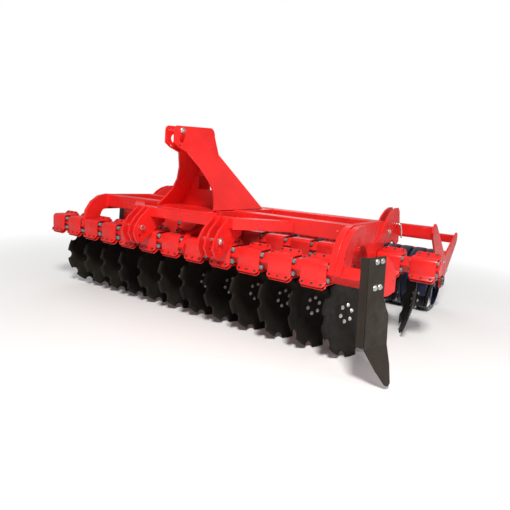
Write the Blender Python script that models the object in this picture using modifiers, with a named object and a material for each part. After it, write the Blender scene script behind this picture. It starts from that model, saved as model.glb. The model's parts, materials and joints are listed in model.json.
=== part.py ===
"""Mounted compact disc harrow, three metres wide, with a packer roller.

Axes: +X towards the right end, +Y backwards from the tractor, +Z up, metres.
The design is drawn from the front disc beam (Y = 0) and the ground (Z = 0).
An empty then moves all of it so that the origin lies under the plan centre.
"""
import math

import bmesh
import bpy
from mathutils import Matrix, Vector

# Clearances
GAP = 0.0003             # between pieces that touch
TURN_GAP = 0.0003        # radial, round pins and spindles
WELD = 0.0005            # how deep welded pieces of one node enter each other

# Disc rows
DISCS_PER_ROW = 12
DISC_PITCH = 0.25
ROW_SPACING = 0.806
BEAM_SIDE = 0.09         # square tube, turned to stand on its edge
BEAM_Z = 0.61
BEAM_END = 0.02          # beam beyond the last clamp
BEAM_OVERHANG = 0.245    # from a side arch to the end that carries a deflector

# One disc and its spring clamp
DISC_RADIUS = 0.30
DISC_THICKNESS = 0.006
DISH_DEPTH = 0.05
DISC_CENTRE_RADIUS = 0.08
NOTCH_COUNT = 10
NOTCH_DEPTH = 0.028
TOOTH_SHARE = 0.62       # share of the rim between notch edges
GANG_ANGLE = math.radians(19)
DISC_TILT = math.radians(6)
DISC_SIDEWAYS = 0.11     # disc centre from its clamp's centre
DISC_BEHIND = 0.28
HUB_RADIUS = 0.045
HUB_LENGTH = 0.075
HUB_END_WALL = 0.015
SPINDLE_RADIUS = 0.018
CLAMP_WIDTH = 0.18
CLAMP_SIDE = 0.14
FLANGE_REACH = 0.13      # flange edge from the beam's centre
FLANGE_THICKNESS = 0.02
ARM_THICKNESS = 0.022
ARM_HALF_WIDTH = 0.037
ARM_HUB_CLEARANCE = 0.006

# Frame tubes
FRAME_TOP = 0.91
HITCH_TUBE_FRONT = -0.10
HITCH_TUBE_SIDE = 0.08
HITCH_TUBE_TOP = 0.887
HITCH_TUBE_HALF = 0.50
CROSS_FRONT = 0.20
CROSS_DEPTH = 0.11
CROSS_HEIGHT = 0.115
REAR_CROSS_AHEAD = 0.076  # front face of the tube ahead of the rear beam
REAR_CROSS_DEPTH = 0.12
BRACE_WIDTH = 0.08
BRACE_END_X = 0.772      # where a brace's middle meets the front cross tube
RAIL_X = 0.285
RAIL_SIDE = 0.08

# Side arches
ARCH_THICKNESS = 0.04
ARCH_SIDE_CLEARANCE = 0.005
LEG_BOX_WIDTH = 0.045
EAR_THICKNESS = 0.012
PIVOT_BEHIND = 0.144     # behind the rear beam
PIVOT_Z = 0.82
PIVOT_PIN_RADIUS = 0.015

# Headstock
CLEVIS_INSIDE = 0.07
HEAD_PLATE = 0.015
CREASE_Z = 1.33
FLARE_ANGLE = math.radians(30.5)
TOP_PIN_RADIUS = 0.0125
TOP_PIN_Y = -0.175
TOP_PIN_Z = 1.478
BACK_PLATE_THICKNESS = 0.012
WINDOW_WIDTH = 0.24
WINDOW_HEIGHT = 0.11
WINDOW_RISE = 0.14       # window's lower edge above the frame

# Lower hitch
LOWER_HITCH_X = 0.395
LOWER_HITCH_FRONT = -0.272
LOWER_PLATE = 0.016
LOWER_PLATE_OFFSETS = (-0.0675, -0.0075, 0.0675)
LOWER_PIN_RADIUS = 0.014
LOWER_PIN_Y = -0.20
LOWER_PIN_Z = 0.728
HANGER_WIDTH = 0.05
HANGER_REACH = 0.105     # plate round a beam, from the beam's centre

# Roller and its frame
ROLLER_BEHIND = 1.02     # roller's axis behind the pivots
ROLLER_RADIUS = 0.30
ROLLER_END_CLEARANCE = 0.027
STUB_RADIUS = 0.025
END_PLATE_OUTSIDE = 0.285  # end plate's middle beyond the arch's
END_PLATE_THICKNESS = 0.016
LEG_HALF_WIDTH = 0.068
CROTCH_RISE = 0.25       # where the legs part, above the roller's axis
BOSS_RADIUS = 0.07
FRONT_TUBE_AHEAD = 0.60  # ahead of the roller's axis
FRONT_TUBE_Z = 0.815
FRONT_TUBE_DEPTH = 0.08
FRONT_TUBE_HEIGHT = 0.10
REAR_TUBE_BEHIND = 0.51
REAR_TUBE_Z = 0.67
REAR_TUBE_SIDE = 0.08
SCRAPER_BEHIND = 0.30
SCRAPER_RISE = 0.235     # above the roller's axis
SCRAPER_SIDE = 0.045
ARM_DEPTH = 0.095
ARM_SIDE_CLEARANCE = 0.005
DEPTH_PIN_BEHIND = 0.18  # behind the pivot
DEPTH_PIN_RADIUS = 0.012
DEPTH_PIN_SLACK = 0.0005

# Side deflectors
DEFLECTOR_THICKNESS = 0.006
DEFLECTOR_LIP = 0.05
DEFLECTOR_OUTSIDE = 0.03  # blade's front corner beyond the beam's end
DEFLECTOR_AHEAD = 0.206
DEFLECTOR_TOP = 0.785
DEFLECTOR_FOLD = 0.54    # height of the blade above its bent foot
DEFLECTOR_BEND = math.radians(18)
DEFLECTOR_TURN = math.radians(16.3)
DEFLECTOR_LEAN = math.radians(2.9)
BRACKET_THICKNESS = 0.010
STUB_SIDE = 0.08

# Places that follow from the sizes above. Each row stands to one side by just
# enough for a side arch to pass between two of the other side's clamps.
ROW_HALF = DISC_PITCH * (DISCS_PER_ROW - 1) / 2
ROW_STAGGER = (DISC_PITCH + CLAMP_WIDTH + ARCH_THICKNESS) / 2 + ARCH_SIDE_CLEARANCE
ARCH_X = (ROW_HALF - ROW_STAGGER + CLAMP_WIDTH / 2 + ARCH_SIDE_CLEARANCE
          + ARCH_THICKNESS / 2)
BEAM_REACH = ARCH_X + BEAM_OVERHANG
END_PLATE_X = ARCH_X + END_PLATE_OUTSIDE
ROLLER_HALF = END_PLATE_X - END_PLATE_THICKNESS / 2 - ROLLER_END_CLEARANCE
REAR_CROSS_FRONT = ROW_SPACING - REAR_CROSS_AHEAD
PIVOT_Y = ROW_SPACING + PIVOT_BEHIND
DEPTH_PIN_Y = PIVOT_Y + DEPTH_PIN_BEHIND
ROLLER_Y = PIVOT_Y + ROLLER_BEHIND
ROLLER_Z = ROLLER_RADIUS
FRONT_TUBE_Y = ROLLER_Y - FRONT_TUBE_AHEAD
REAR_TUBE_Y = ROLLER_Y + REAR_TUBE_BEHIND
SCRAPER_Y = ROLLER_Y + SCRAPER_BEHIND
SCRAPER_Z = ROLLER_Z + SCRAPER_RISE
PLAN_BACK = REAR_TUBE_Y + REAR_TUBE_SIDE / 2 + 0.002

RED = (0.72, 0.022, 0.018, 1)
BLACK = (0.022, 0.020, 0.018, 1)
NAVY = (0.012, 0.016, 0.035, 1)
ZINC = (0.55, 0.55, 0.56, 1)


# ---------------------------------------------------------------- helpers

def empty_scene():
    for thing in list(bpy.data.objects):
        bpy.data.objects.remove(thing, do_unlink=True)


def make_material(name, colour, roughness, metallic):
    material = bpy.data.materials.new(name)
    material.use_nodes = True
    shader = material.node_tree.nodes["Principled BSDF"]
    shader.inputs["Base Color"].default_value = colour
    shader.inputs["Roughness"].default_value = roughness
    shader.inputs["Metallic"].default_value = metallic
    return material


def make_collection(name):
    collection = bpy.data.collections.new(name)
    bpy.context.scene.collection.children.link(collection)
    return collection


def object_from(bm, name):
    """Turn a bmesh into an object that isn't in a collection yet."""
    bmesh.ops.recalc_face_normals(bm, faces=bm.faces)
    mesh = bpy.data.meshes.new(name)
    bm.to_mesh(mesh)
    bm.free()
    return bpy.data.objects.new(name, mesh)


def box(low, high, name="box"):
    bm = bmesh.new()
    bmesh.ops.create_cube(bm, size=1)
    low, high = Vector(low), Vector(high)
    bmesh.ops.scale(bm, vec=high - low, verts=bm.verts)
    bmesh.ops.translate(bm, vec=(low + high) / 2, verts=bm.verts)
    return object_from(bm, name)


def rod(start, end, radius, sides=12, name="rod"):
    """A round bar between two points."""
    start, end = Vector(start), Vector(end)
    bm = bmesh.new()
    bmesh.ops.create_cone(bm, cap_ends=True, segments=sides, radius1=radius,
                          radius2=radius, depth=(end - start).length)
    turn = (end - start).to_track_quat("Z", "Y").to_matrix().to_4x4()
    bmesh.ops.transform(bm, matrix=Matrix.Translation((start + end) / 2) @ turn, verts=bm.verts)
    return object_from(bm, name)


def round_hole(start, end, radius, sides=12):
    """A cutter whose flats stay outside the given radius."""
    return rod(start, end, radius / math.cos(math.pi / sides), sides)


def arc(centre, radius, start, end, count):
    """Points of an arc in degrees, as an outline uses them."""
    angles = [math.radians(start + (end - start) * i / (count - 1)) for i in range(count)]
    return [(centre[0] + radius * math.cos(a), centre[1] + radius * math.sin(a)) for a in angles]


def as_mesh(source):
    """Swap an object for its evaluated mesh, welded into one closed body."""
    scratch.objects.link(source)
    bpy.context.view_layer.update()
    evaluated = source.evaluated_get(bpy.context.evaluated_depsgraph_get())
    mesh = bpy.data.meshes.new_from_object(evaluated)
    mesh.transform(source.matrix_world)
    name = source.name
    bpy.data.objects.remove(source)
    bm = bmesh.new()
    bm.from_mesh(mesh)
    bmesh.ops.remove_doubles(bm, verts=bm.verts, dist=0.00001)
    bpy.data.meshes.remove(mesh)
    return object_from(bm, name)


def plate(outline, thickness, place, name="plate"):
    """A flat outline, extruded to half its thickness on both sides of its plane."""
    curve = bpy.data.curves.new(name, "CURVE")
    curve.dimensions = "2D"
    curve.fill_mode = "BOTH"
    curve.extrude = thickness / 2
    spline = curve.splines.new("POLY")
    spline.points.add(len(outline) - 1)
    for point, (u, v) in zip(spline.points, outline):
        point.co = (u, v, 0, 1)
    spline.use_cyclic_u = True
    source = bpy.data.objects.new(name, curve)
    source.matrix_world = place
    return as_mesh(source)


def side_plane(x):
    """Plane whose outline is drawn in Y and Z, at a given X."""
    return Matrix(((0, 0, 1, x), (1, 0, 0, 0), (0, 1, 0, 0), (0, 0, 0, 1)))


def plan_plane(z):
    """Plane whose outline is drawn in X and Y, at a given Z."""
    return Matrix.Translation((0, 0, z))


def combine(base, others, operation="UNION"):
    """Join others to base, or cut them from it, and return the result."""
    for other in others:
        scratch.objects.link(other)
        modifier = base.modifiers.new("join", "BOOLEAN")
        modifier.operation = operation
        modifier.solver = "EXACT"
        modifier.object = other
    result = as_mesh(base)
    for other in others:
        bpy.data.objects.remove(other)
    return result


def moved(source, matrix):
    """A copy of an object's mesh, moved, or mirrored with its faces kept outwards."""
    bm = bmesh.new()
    bm.from_mesh(source.data)
    bmesh.ops.transform(bm, matrix=matrix, verts=bm.verts)
    return object_from(bm, source.name)


MIRROR_X = Matrix.Scale(-1, 4, (1, 0, 0))


def finish(thing, name, material, origin=(0, 0, 0)):
    """Name a piece, put its origin in place and hand it to the harrow."""
    thing.name = name
    thing.data.name = name
    if any(origin):
        thing.data.transform(Matrix.Translation(-Vector(origin)))
    thing.location = origin
    thing.data.materials.clear()
    thing.data.materials.append(material)
    thing.data.shade_smooth()
    thing.data.set_sharp_from_angle(angle=math.radians(35))
    harrow.objects.link(thing)
    thing.parent = ground_centre
    return thing


# ---------------------------------------------------------------- disc rows

BEAM_CORNER = BEAM_SIDE / math.sqrt(2)
DISC_NORMAL = Vector((math.cos(DISC_TILT) * math.cos(GANG_ANGLE),
                      -math.cos(DISC_TILT) * math.sin(GANG_ANGLE),
                      math.sin(DISC_TILT)))
ARM_PLANE = HUB_LENGTH + ARM_HUB_CLEARANCE + ARM_THICKNESS / 2


def clamp_positions():
    """X of each clamp of the front row; the rear row is its mirror image."""
    return [-ROW_STAGGER - ROW_HALF + DISC_PITCH * i for i in range(DISCS_PER_ROW)]


# A tooth's two corners are the lowest points of a disc, and they stand on the ground.
HALF_TOOTH = TOOTH_SHARE * math.pi / NOTCH_COUNT
DISC_HEIGHT = (DISC_RADIUS * math.cos(HALF_TOOTH) * math.cos(DISC_TILT)
               - (DISH_DEPTH - DISC_THICKNESS / 2) * math.sin(DISC_TILT))


def disc_centre(clamp_x):
    return Vector((clamp_x + DISC_SIDEWAYS, DISC_BEHIND, DISC_HEIGHT))


def make_disc():
    """Dished and notched blade with its hub, dish open towards +Z."""
    bm = bmesh.new()
    centre = bmesh.ops.create_circle(bm, cap_ends=True, segments=NOTCH_COUNT,
                                     radius=DISC_CENTRE_RADIUS)["verts"]
    rim = bmesh.ops.create_circle(bm, cap_ends=False, segments=3 * NOTCH_COUNT,
                                  radius=DISC_RADIUS)["verts"]
    step = 2 * math.pi / NOTCH_COUNT
    for index, vertex in enumerate(rim):
        notch, corner = divmod(index, 3)
        share = (-TOOTH_SHARE / 2, TOOTH_SHARE / 2, 0.5)[corner]
        radius = DISC_RADIUS - (NOTCH_DEPTH if corner == 2 else 0)
        depth = DISH_DEPTH * (radius - DISC_CENTRE_RADIUS) / (DISC_RADIUS - DISC_CENTRE_RADIUS)
        angle = (notch + share + 0.5) * step
        vertex.co = (radius * math.cos(angle), radius * math.sin(angle), depth)
    edges = [e for e in bm.edges if all(v in centre for v in e.verts)]
    edges += [e for e in bm.edges if all(v in rim for v in e.verts)]
    bmesh.ops.bridge_loops(bm, edges=edges)
    blade = object_from(bm, "blade")
    wall = blade.modifiers.new("wall", "SOLIDIFY")
    wall.thickness = DISC_THICKNESS
    wall.offset = 0
    blade = as_mesh(blade)
    hub = rod((0, 0, -HUB_LENGTH), (0, 0, DISC_THICKNESS / 4), HUB_RADIUS)
    bore = round_hole((0, 0, -HUB_LENGTH - 0.01), (0, 0, -HUB_END_WALL),
                      SPINDLE_RADIUS + TURN_GAP)
    return combine(combine(blade, [hub]), [bore], "DIFFERENCE")


def arm_outline():
    """Bowed strap from the hub's eye up and forward into the clamp."""
    top = Vector((-DISC_BEHIND + 0.02, BEAM_Z - DISC_HEIGHT - 0.035))
    bend = Vector((0.03, 0.20))
    left, right = [], []
    for i in range(4):
        t = 0.12 + 0.88 * i / 3
        point = 2 * t * (1 - t) * bend + t * t * top
        along = (2 * (1 - 2 * t) * bend + 2 * t * top).normalized()
        side = Vector((along.y, -along.x)) * ARM_HALF_WIDTH
        right.append(tuple(point + side))
        left.append(tuple(point - side))
    eye = arc((0, 0), 0.044, -180, 0, 5)
    return eye + right + left[::-1]


def make_disc_mount():
    """Clamp, bolt flanges, arm and spindle of one disc, round a clamp at X = 0."""
    half = CLAMP_SIDE / 2
    wide = CLAMP_WIDTH / 2
    clamp = box((-wide, -half, BEAM_Z - half), (wide, half, BEAM_Z + half), "mount")
    flange = box((-wide + 0.001, -FLANGE_REACH, -FLANGE_THICKNESS / 2),
                 (wide - 0.001, FLANGE_REACH, FLANGE_THICKNESS / 2))
    turn = Matrix.Translation((0, 0, BEAM_Z)) @ Matrix.Rotation(math.radians(45), 4, "X")
    flange = moved(flange, turn)
    centre = disc_centre(0)
    backwards = Vector((0, 0, 1)).cross(DISC_NORMAL).normalized()
    upwards = DISC_NORMAL.cross(backwards)
    # Outline axes: backwards along the disc's plane, then up along it.
    place = Matrix((backwards, upwards, DISC_NORMAL)).transposed().to_4x4()
    place.translation = centre - DISC_NORMAL * ARM_PLANE
    if place.to_3x3().determinant() < 0:
        place = place @ Matrix.Scale(-1, 4, (0, 0, 1))
    arm = plate(arm_outline(), ARM_THICKNESS, place)
    spindle = rod(centre - DISC_NORMAL * (ARM_PLANE + ARM_THICKNESS / 2 + 0.012),
                  centre - DISC_NORMAL * (HUB_END_WALL + TURN_GAP), SPINDLE_RADIUS)
    return combine(clamp, [flange, arm, spindle])


def beam(low_x, high_x):
    """Square tube on its edge, along X."""
    half = BEAM_SIDE / 2
    bar = box((low_x, -half, -half), (high_x, half, half), "beam")
    turn = Matrix.Translation((0, 0, BEAM_Z)) @ Matrix.Rotation(math.radians(45), 4, "X")
    return moved(bar, turn)


def make_gang():
    """The front beam with its twelve clamps, arms and spindles."""
    mount = make_disc_mount()
    low = clamp_positions()[0] - CLAMP_WIDTH / 2 - BEAM_END
    mounts = [moved(mount, Matrix.Translation((x, 0, 0))) for x in clamp_positions()]
    return combine(beam(low, BEAM_REACH), mounts)


def add_disc_rows():
    gang = make_gang()
    rear_place = Matrix.Translation((0, ROW_SPACING, 0)) @ MIRROR_X
    finish(moved(gang, rear_place), "rear_disc_gang", paint_red)
    finish(gang, "front_disc_gang", paint_red)
    disc = make_disc()
    disc.data.materials.append(disc_black)
    disc.data.shade_smooth()
    disc.data.set_sharp_from_angle(angle=math.radians(35))
    mirrored_normal = MIRROR_X @ DISC_NORMAL
    for number, x in enumerate(clamp_positions(), 1):
        centre = disc_centre(x)
        place_disc(disc.data, f"front_disc_{number:02d}", centre, DISC_NORMAL)
        rear_centre = MIRROR_X @ centre + Vector((0, ROW_SPACING, 0))
        place_disc(disc.data, f"rear_disc_{DISCS_PER_ROW + 1 - number:02d}", rear_centre,
                   mirrored_normal)


def place_disc(mesh, name, centre, normal):
    thing = bpy.data.objects.new(name, mesh)
    thing.location = centre
    thing.rotation_mode = "QUATERNION"
    thing.rotation_quaternion = normal.to_track_quat("Z", "Y")
    harrow.objects.link(thing)
    thing.parent = ground_centre


# ---------------------------------------------------------------- frame

HITCH_TUBE_BACK = HITCH_TUBE_FRONT + HITCH_TUBE_SIDE
CROSS_BACK = CROSS_FRONT + CROSS_DEPTH
REAR_CROSS_BACK = REAR_CROSS_FRONT + REAR_CROSS_DEPTH
CROSS_BOTTOM = FRAME_TOP - CROSS_HEIGHT
ARCH_INSIDE = ARCH_X - ARCH_THICKNESS / 2
ARCH_OUTSIDE = ARCH_X + ARCH_THICKNESS / 2


def add_cross_tubes():
    half = ARCH_INSIDE - GAP
    front = box((-half, CROSS_FRONT, CROSS_BOTTOM), (half, CROSS_BACK, FRAME_TOP))
    finish(front, "front_cross_tube", paint_red)
    half = ARCH_INSIDE - EAR_THICKNESS - GAP
    rear = box((-half, REAR_CROSS_FRONT, CROSS_BOTTOM), (half, REAR_CROSS_BACK, FRAME_TOP))
    finish(rear, "rear_cross_tube", paint_red)
    bottom = HITCH_TUBE_TOP - HITCH_TUBE_SIDE
    hitch = box((-HITCH_TUBE_HALF, HITCH_TUBE_FRONT, bottom),
                (HITCH_TUBE_HALF, HITCH_TUBE_BACK, HITCH_TUBE_TOP))
    finish(hitch, "front_hitch_tube", paint_red)


def add_braces():
    """Tubes from the hitch tube's ends back to the front cross tube."""
    start = Vector((HITCH_TUBE_HALF, HITCH_TUBE_FRONT + HITCH_TUBE_SIDE / 2))
    end = Vector((BRACE_END_X, CROSS_FRONT))
    along = (end - start).normalized()
    side = Vector((-along.y, along.x)) * BRACE_WIDTH / 2
    outline = []
    for edge in (start - side, start + side):
        near = edge + along * ((HITCH_TUBE_HALF + GAP - edge.x) / along.x)
        far = edge + along * ((CROSS_FRONT - GAP - edge.y) / along.y)
        outline.append((near, far))
    (near_low, far_low), (near_high, far_high) = outline
    points = [tuple(p) for p in (near_low, far_low, far_high, near_high)]
    middle = HITCH_TUBE_TOP - HITCH_TUBE_SIDE / 2
    right = plate(points, HITCH_TUBE_SIDE, plan_plane(middle))
    finish(moved(right, MIRROR_X), "diagonal_brace_left", paint_red)
    finish(right, "diagonal_brace_right", paint_red)


def add_rails():
    """Short tubes along Y that tie the three cross members together."""
    half = RAIL_SIDE / 2
    spans = {"front_rail": (HITCH_TUBE_BACK, CROSS_FRONT),
             "rear_rail": (CROSS_BACK, REAR_CROSS_FRONT)}
    for name, (front, back) in spans.items():
        low = (RAIL_X - half, front + GAP, FRAME_TOP - RAIL_SIDE)
        rail = box(low, (RAIL_X + half, back - GAP, FRAME_TOP))
        finish(moved(rail, MIRROR_X), name + "_left", paint_red)
        finish(rail, name + "_right", paint_red)


def beam_saddle(beam_y, low_z):
    """Outline points over the upper faces of a beam, front to back, at its gap."""
    corner = BEAM_CORNER + GAP * math.sqrt(2)
    reach = corner - (low_z - BEAM_Z)
    return [(beam_y - reach, low_z), (beam_y, BEAM_Z + corner), (beam_y + reach, low_z)]


def arch_outline():
    """Main plate of a side arch: curved front leg, top, and leg to the rear beam."""
    foot = BEAM_Z + 0.004
    rear_foot = BEAM_Z + 0.03
    back = PIVOT_Y - 0.062
    front_leg = [(-0.072, foot)] + beam_saddle(0, foot) + [(0.088, foot + 0.01)]
    opening = [(0.108, 0.70)] + arc((0.165, 0.735), 0.038, 165, 90, 3)
    opening += [(ROW_SPACING - ahead, z) for ahead, z in
                ((0.406, 0.773), (0.336, 0.74), (0.296, 0.69), (0.261, rear_foot))]
    rear_leg = beam_saddle(ROW_SPACING, rear_foot) + [(back, BEAM_Z + 0.05)]
    top = [(back, PIVOT_Z + 0.07), (ROW_SPACING - 0.006, FRAME_TOP + 0.005)]
    crown = [(0.24, FRAME_TOP + 0.005)] + arc((0.20, 0.66), 0.258, 90, 178, 5)
    return front_leg + opening + rear_leg + top + crown


def leg_box_outline():
    """Outer half of the front leg, which makes it a box."""
    foot = BEAM_Z + 0.004
    outline = [(-0.068, foot)] + beam_saddle(0, foot) + [(0.084, foot + 0.01), (0.104, 0.70)]
    outline += arc((0.165, 0.735), 0.042, 165, 90, 3)
    outline += [(0.30, 0.777), (0.30, FRAME_TOP)]
    return outline + arc((0.20, 0.66), 0.25, 90, 178, 5)


def ear_outline():
    """Quadrant plate beside the roller arm."""
    corners = [(-0.29, -0.06), (-0.07, -0.085), (0.03, -0.085), (0.11, -0.075), (0.24, -0.13),
               (0.30, -0.10), (0.27, 0.06), (0.23, 0.155)]
    hump = arc((PIVOT_Y + 0.15, PIVOT_Z - 0.20), 0.39, 84, 150, 6)
    return [(PIVOT_Y + y, PIVOT_Z + z) for y, z in corners] + hump


def make_arch():
    """Right-hand side arch with its two ears and the roller arm's pivot pin."""
    arch = plate(arch_outline(), ARCH_THICKNESS, side_plane(ARCH_X), "arch")
    pieces = []
    for side in (-1, 1):
        x = ARCH_X + side * (ARCH_THICKNESS + EAR_THICKNESS - WELD) / 2
        ear = plate(ear_outline(), EAR_THICKNESS + WELD, side_plane(x))
        pin_z = depth_pin_z()
        hole = round_hole((x - 0.05, DEPTH_PIN_Y, pin_z), (x + 0.05, DEPTH_PIN_Y, pin_z),
                          DEPTH_PIN_RADIUS + TURN_GAP, 10)
        pieces.append(combine(ear, [hole], "DIFFERENCE"))
    outside = ARCH_OUTSIDE + EAR_THICKNESS + 0.01
    inside = ARCH_INSIDE - EAR_THICKNESS - 0.01
    pieces.append(rod((inside, PIVOT_Y, PIVOT_Z), (outside, PIVOT_Y, PIVOT_Z), PIVOT_PIN_RADIUS))
    return combine(arch, pieces)


def add_arches():
    arch = make_arch()
    box_x = ARCH_OUTSIDE + (LEG_BOX_WIDTH - WELD) / 2
    leg_box = plate(leg_box_outline(), LEG_BOX_WIDTH + WELD, side_plane(box_x))
    left = moved(arch, MIRROR_X)
    finish(combine(arch, [leg_box]), "side_arch_right", paint_red)
    finish(left, "side_arch_left", paint_red)


def add_hangers():
    """Plates that carry each beam in the gap between two clamps near its middle."""
    x = clamp_positions()[DISCS_PER_ROW // 2] + DISC_PITCH / 2
    corner = BEAM_CORNER + GAP * math.sqrt(2)
    round_beam = HANGER_REACH
    outline = [(0, BEAM_Z - round_beam), (round_beam, BEAM_Z), (round_beam, BEAM_Z + 0.03),
               (CROSS_BACK - 0.01, CROSS_BOTTOM - GAP), (CROSS_FRONT, CROSS_BOTTOM - GAP),
               (0, BEAM_Z + round_beam), (-round_beam, BEAM_Z)]
    front = plate(outline, HANGER_WIDTH, side_plane(x))
    hole = [(-corner, BEAM_Z), (0, BEAM_Z - corner), (corner, BEAM_Z), (0, BEAM_Z + corner)]
    cutter = plate(hole, HANGER_WIDTH * 2, side_plane(x))
    finish(combine(front, [cutter], "DIFFERENCE"), "front_beam_hanger", paint_red)
    y = ROW_SPACING
    outline = [(y, BEAM_Z - round_beam), (y + round_beam, BEAM_Z),
               (REAR_CROSS_BACK, CROSS_BOTTOM - GAP), (REAR_CROSS_FRONT, CROSS_BOTTOM - GAP),
               (y - round_beam, BEAM_Z)]
    rear = plate(outline, HANGER_WIDTH, side_plane(-x))
    cutter = plate([(u + y, v) for u, v in hole], HANGER_WIDTH * 2, side_plane(-x))
    finish(combine(rear, [cutter], "DIFFERENCE"), "rear_beam_hanger", paint_red)


# ---------------------------------------------------------------- hitch

def make_head_plate():
    """Right headstock plate: upright clevis part, bent outwards below its crease."""
    x = CLEVIS_INSIDE / 2 + HEAD_PLATE / 2
    upper = [(-0.105, CREASE_Z - 0.004), (0.272, CREASE_Z - 0.004), (0.205, 1.47)]
    upper += arc((0.150, 1.478), 0.055, 10, 80, 3)
    upper += [(-0.20, 1.508)] + arc((-0.215, 1.475), 0.033, 100, 180, 3)
    upper += [(-0.248, 1.385), (-0.20, 1.355)]
    upright = plate(upper, HEAD_PLATE, side_plane(x))
    hole = round_hole((x - 0.05, TOP_PIN_Y, TOP_PIN_Z), (x + 0.05, TOP_PIN_Y, TOP_PIN_Z),
                      TOP_PIN_RADIUS + TURN_GAP)
    upright = combine(upright, [hole], "DIFFERENCE")
    fall = (CREASE_Z - FRAME_TOP - GAP) / math.cos(FLARE_ANGLE)
    thick = HEAD_PLATE * math.tan(FLARE_ANGLE)
    length = fall - thick / 2
    lower = [(-0.105, 0), (-0.02, -0.13), (0.022, -0.24), (0.022, -0.33),
             (-0.018, -0.42), (-0.06, -length), (0.60, -length), (0.272, 0)]
    bend = Matrix.Translation((x, 0, CREASE_Z)) @ Matrix.Rotation(-FLARE_ANGLE, 4, "Y")
    flared = plate(lower, HEAD_PLATE, bend @ side_plane(0))
    return combine(upright, [flared])


def add_headstock():
    right = make_head_plate()
    finish(moved(right, MIRROR_X), "headstock_plate_left", paint_red)
    finish(right, "headstock_plate_right", paint_red)
    end = CLEVIS_INSIDE / 2 + HEAD_PLATE + 0.02
    pin = rod((-end, TOP_PIN_Y, TOP_PIN_Z), (end, TOP_PIN_Y, TOP_PIN_Z), TOP_PIN_RADIUS)
    finish(pin, "top_link_pin", zinc)
    y = CROSS_FRONT + 0.03
    bottom = FRAME_TOP + GAP
    top = CREASE_Z - 0.03
    slack = HEAD_PLATE / 2 / math.cos(FLARE_ANGLE) + GAP * 2
    middle = CLEVIS_INSIDE / 2 + HEAD_PLATE / 2 - slack

    def half_at(z):
        return middle + (CREASE_Z - z) * math.tan(FLARE_ANGLE)

    outline = [(-half_at(bottom), bottom), (half_at(bottom), bottom),
               (half_at(top), top), (-half_at(top), top)]
    facing = Matrix(((1, 0, 0, 0), (0, 0, -1, y), (0, 1, 0, 0), (0, 0, 0, 1)))
    back = plate(outline, BACK_PLATE_THICKNESS, facing)
    low = (-WINDOW_WIDTH / 2, y - 0.05, FRAME_TOP + WINDOW_RISE)
    window = box(low, (WINDOW_WIDTH / 2, y + 0.05, low[2] + WINDOW_HEIGHT))
    finish(combine(back, [window], "DIFFERENCE"), "headstock_back_plate", paint_red)


def add_lower_hitch():
    """Three plates a side, held together by the lower link pin."""
    bottom = HITCH_TUBE_TOP - HITCH_TUBE_SIDE - GAP
    front = HITCH_TUBE_FRONT - GAP
    y, z = LOWER_PIN_Y, LOWER_PIN_Z
    outline = [(front, HITCH_TUBE_TOP + 0.004), (y + 0.05, z + 0.124), (y - 0.015, z + 0.072),
               (LOWER_HITCH_FRONT + 0.010, z + 0.007), (LOWER_HITCH_FRONT, z - 0.048)]
    outline += arc((y - 0.008, z - 0.082), 0.046, 190, 300, 4)
    outline += [(y + 0.153, z - 0.028), (0.06, 0.76), (0.06, bottom), (front, bottom)]
    plates = []
    for offset in LOWER_PLATE_OFFSETS:
        plates.append(plate(outline, LOWER_PLATE, side_plane(LOWER_HITCH_X + offset)))
    inner = LOWER_HITCH_X + LOWER_PLATE_OFFSETS[0] - LOWER_PLATE / 2 - 0.012
    outer = LOWER_HITCH_X + LOWER_PLATE_OFFSETS[-1] + LOWER_PLATE / 2 + 0.012
    pin = rod((inner, LOWER_PIN_Y, LOWER_PIN_Z), (outer, LOWER_PIN_Y, LOWER_PIN_Z),
              LOWER_PIN_RADIUS)
    right = combine(pin, plates)
    finish(moved(right, MIRROR_X), "lower_hitch_left", paint_red)
    finish(right, "lower_hitch_right", paint_red)


# ---------------------------------------------------------------- roller

END_PLATE_INSIDE = END_PLATE_X - END_PLATE_THICKNESS / 2
ROLLER_PIVOT = (0, PIVOT_Y, PIVOT_Z)
ROLLER_AXIS = (0, ROLLER_Y, ROLLER_Z)


def depth_pin_z():
    return FRONT_TUBE_Z + ARM_DEPTH / 2 + DEPTH_PIN_RADIUS + DEPTH_PIN_SLACK


def v_outline():
    """End plate: a boss round the bearing and two wide legs up to the two tubes."""
    axis = Vector((ROLLER_Y, ROLLER_Z))
    tips = (Vector((PLAN_BACK - LEG_HALF_WIDTH, REAR_TUBE_Z + 0.005)),
            Vector((FRONT_TUBE_Y, FRONT_TUBE_Z + 0.01)))
    caps = []
    for tip in tips:
        along = tip - axis
        heading = math.degrees(math.atan2(along.y, along.x))
        caps.append(arc(tip, LEG_HALF_WIDTH, heading - 90, heading + 90, 5))
    rear_cap, front_cap = caps
    crotch = (ROLLER_Y, ROLLER_Z + CROTCH_RISE)
    return arc(axis, BOSS_RADIUS, 190, 350, 6) + rear_cap + [crotch] + front_cap


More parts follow.
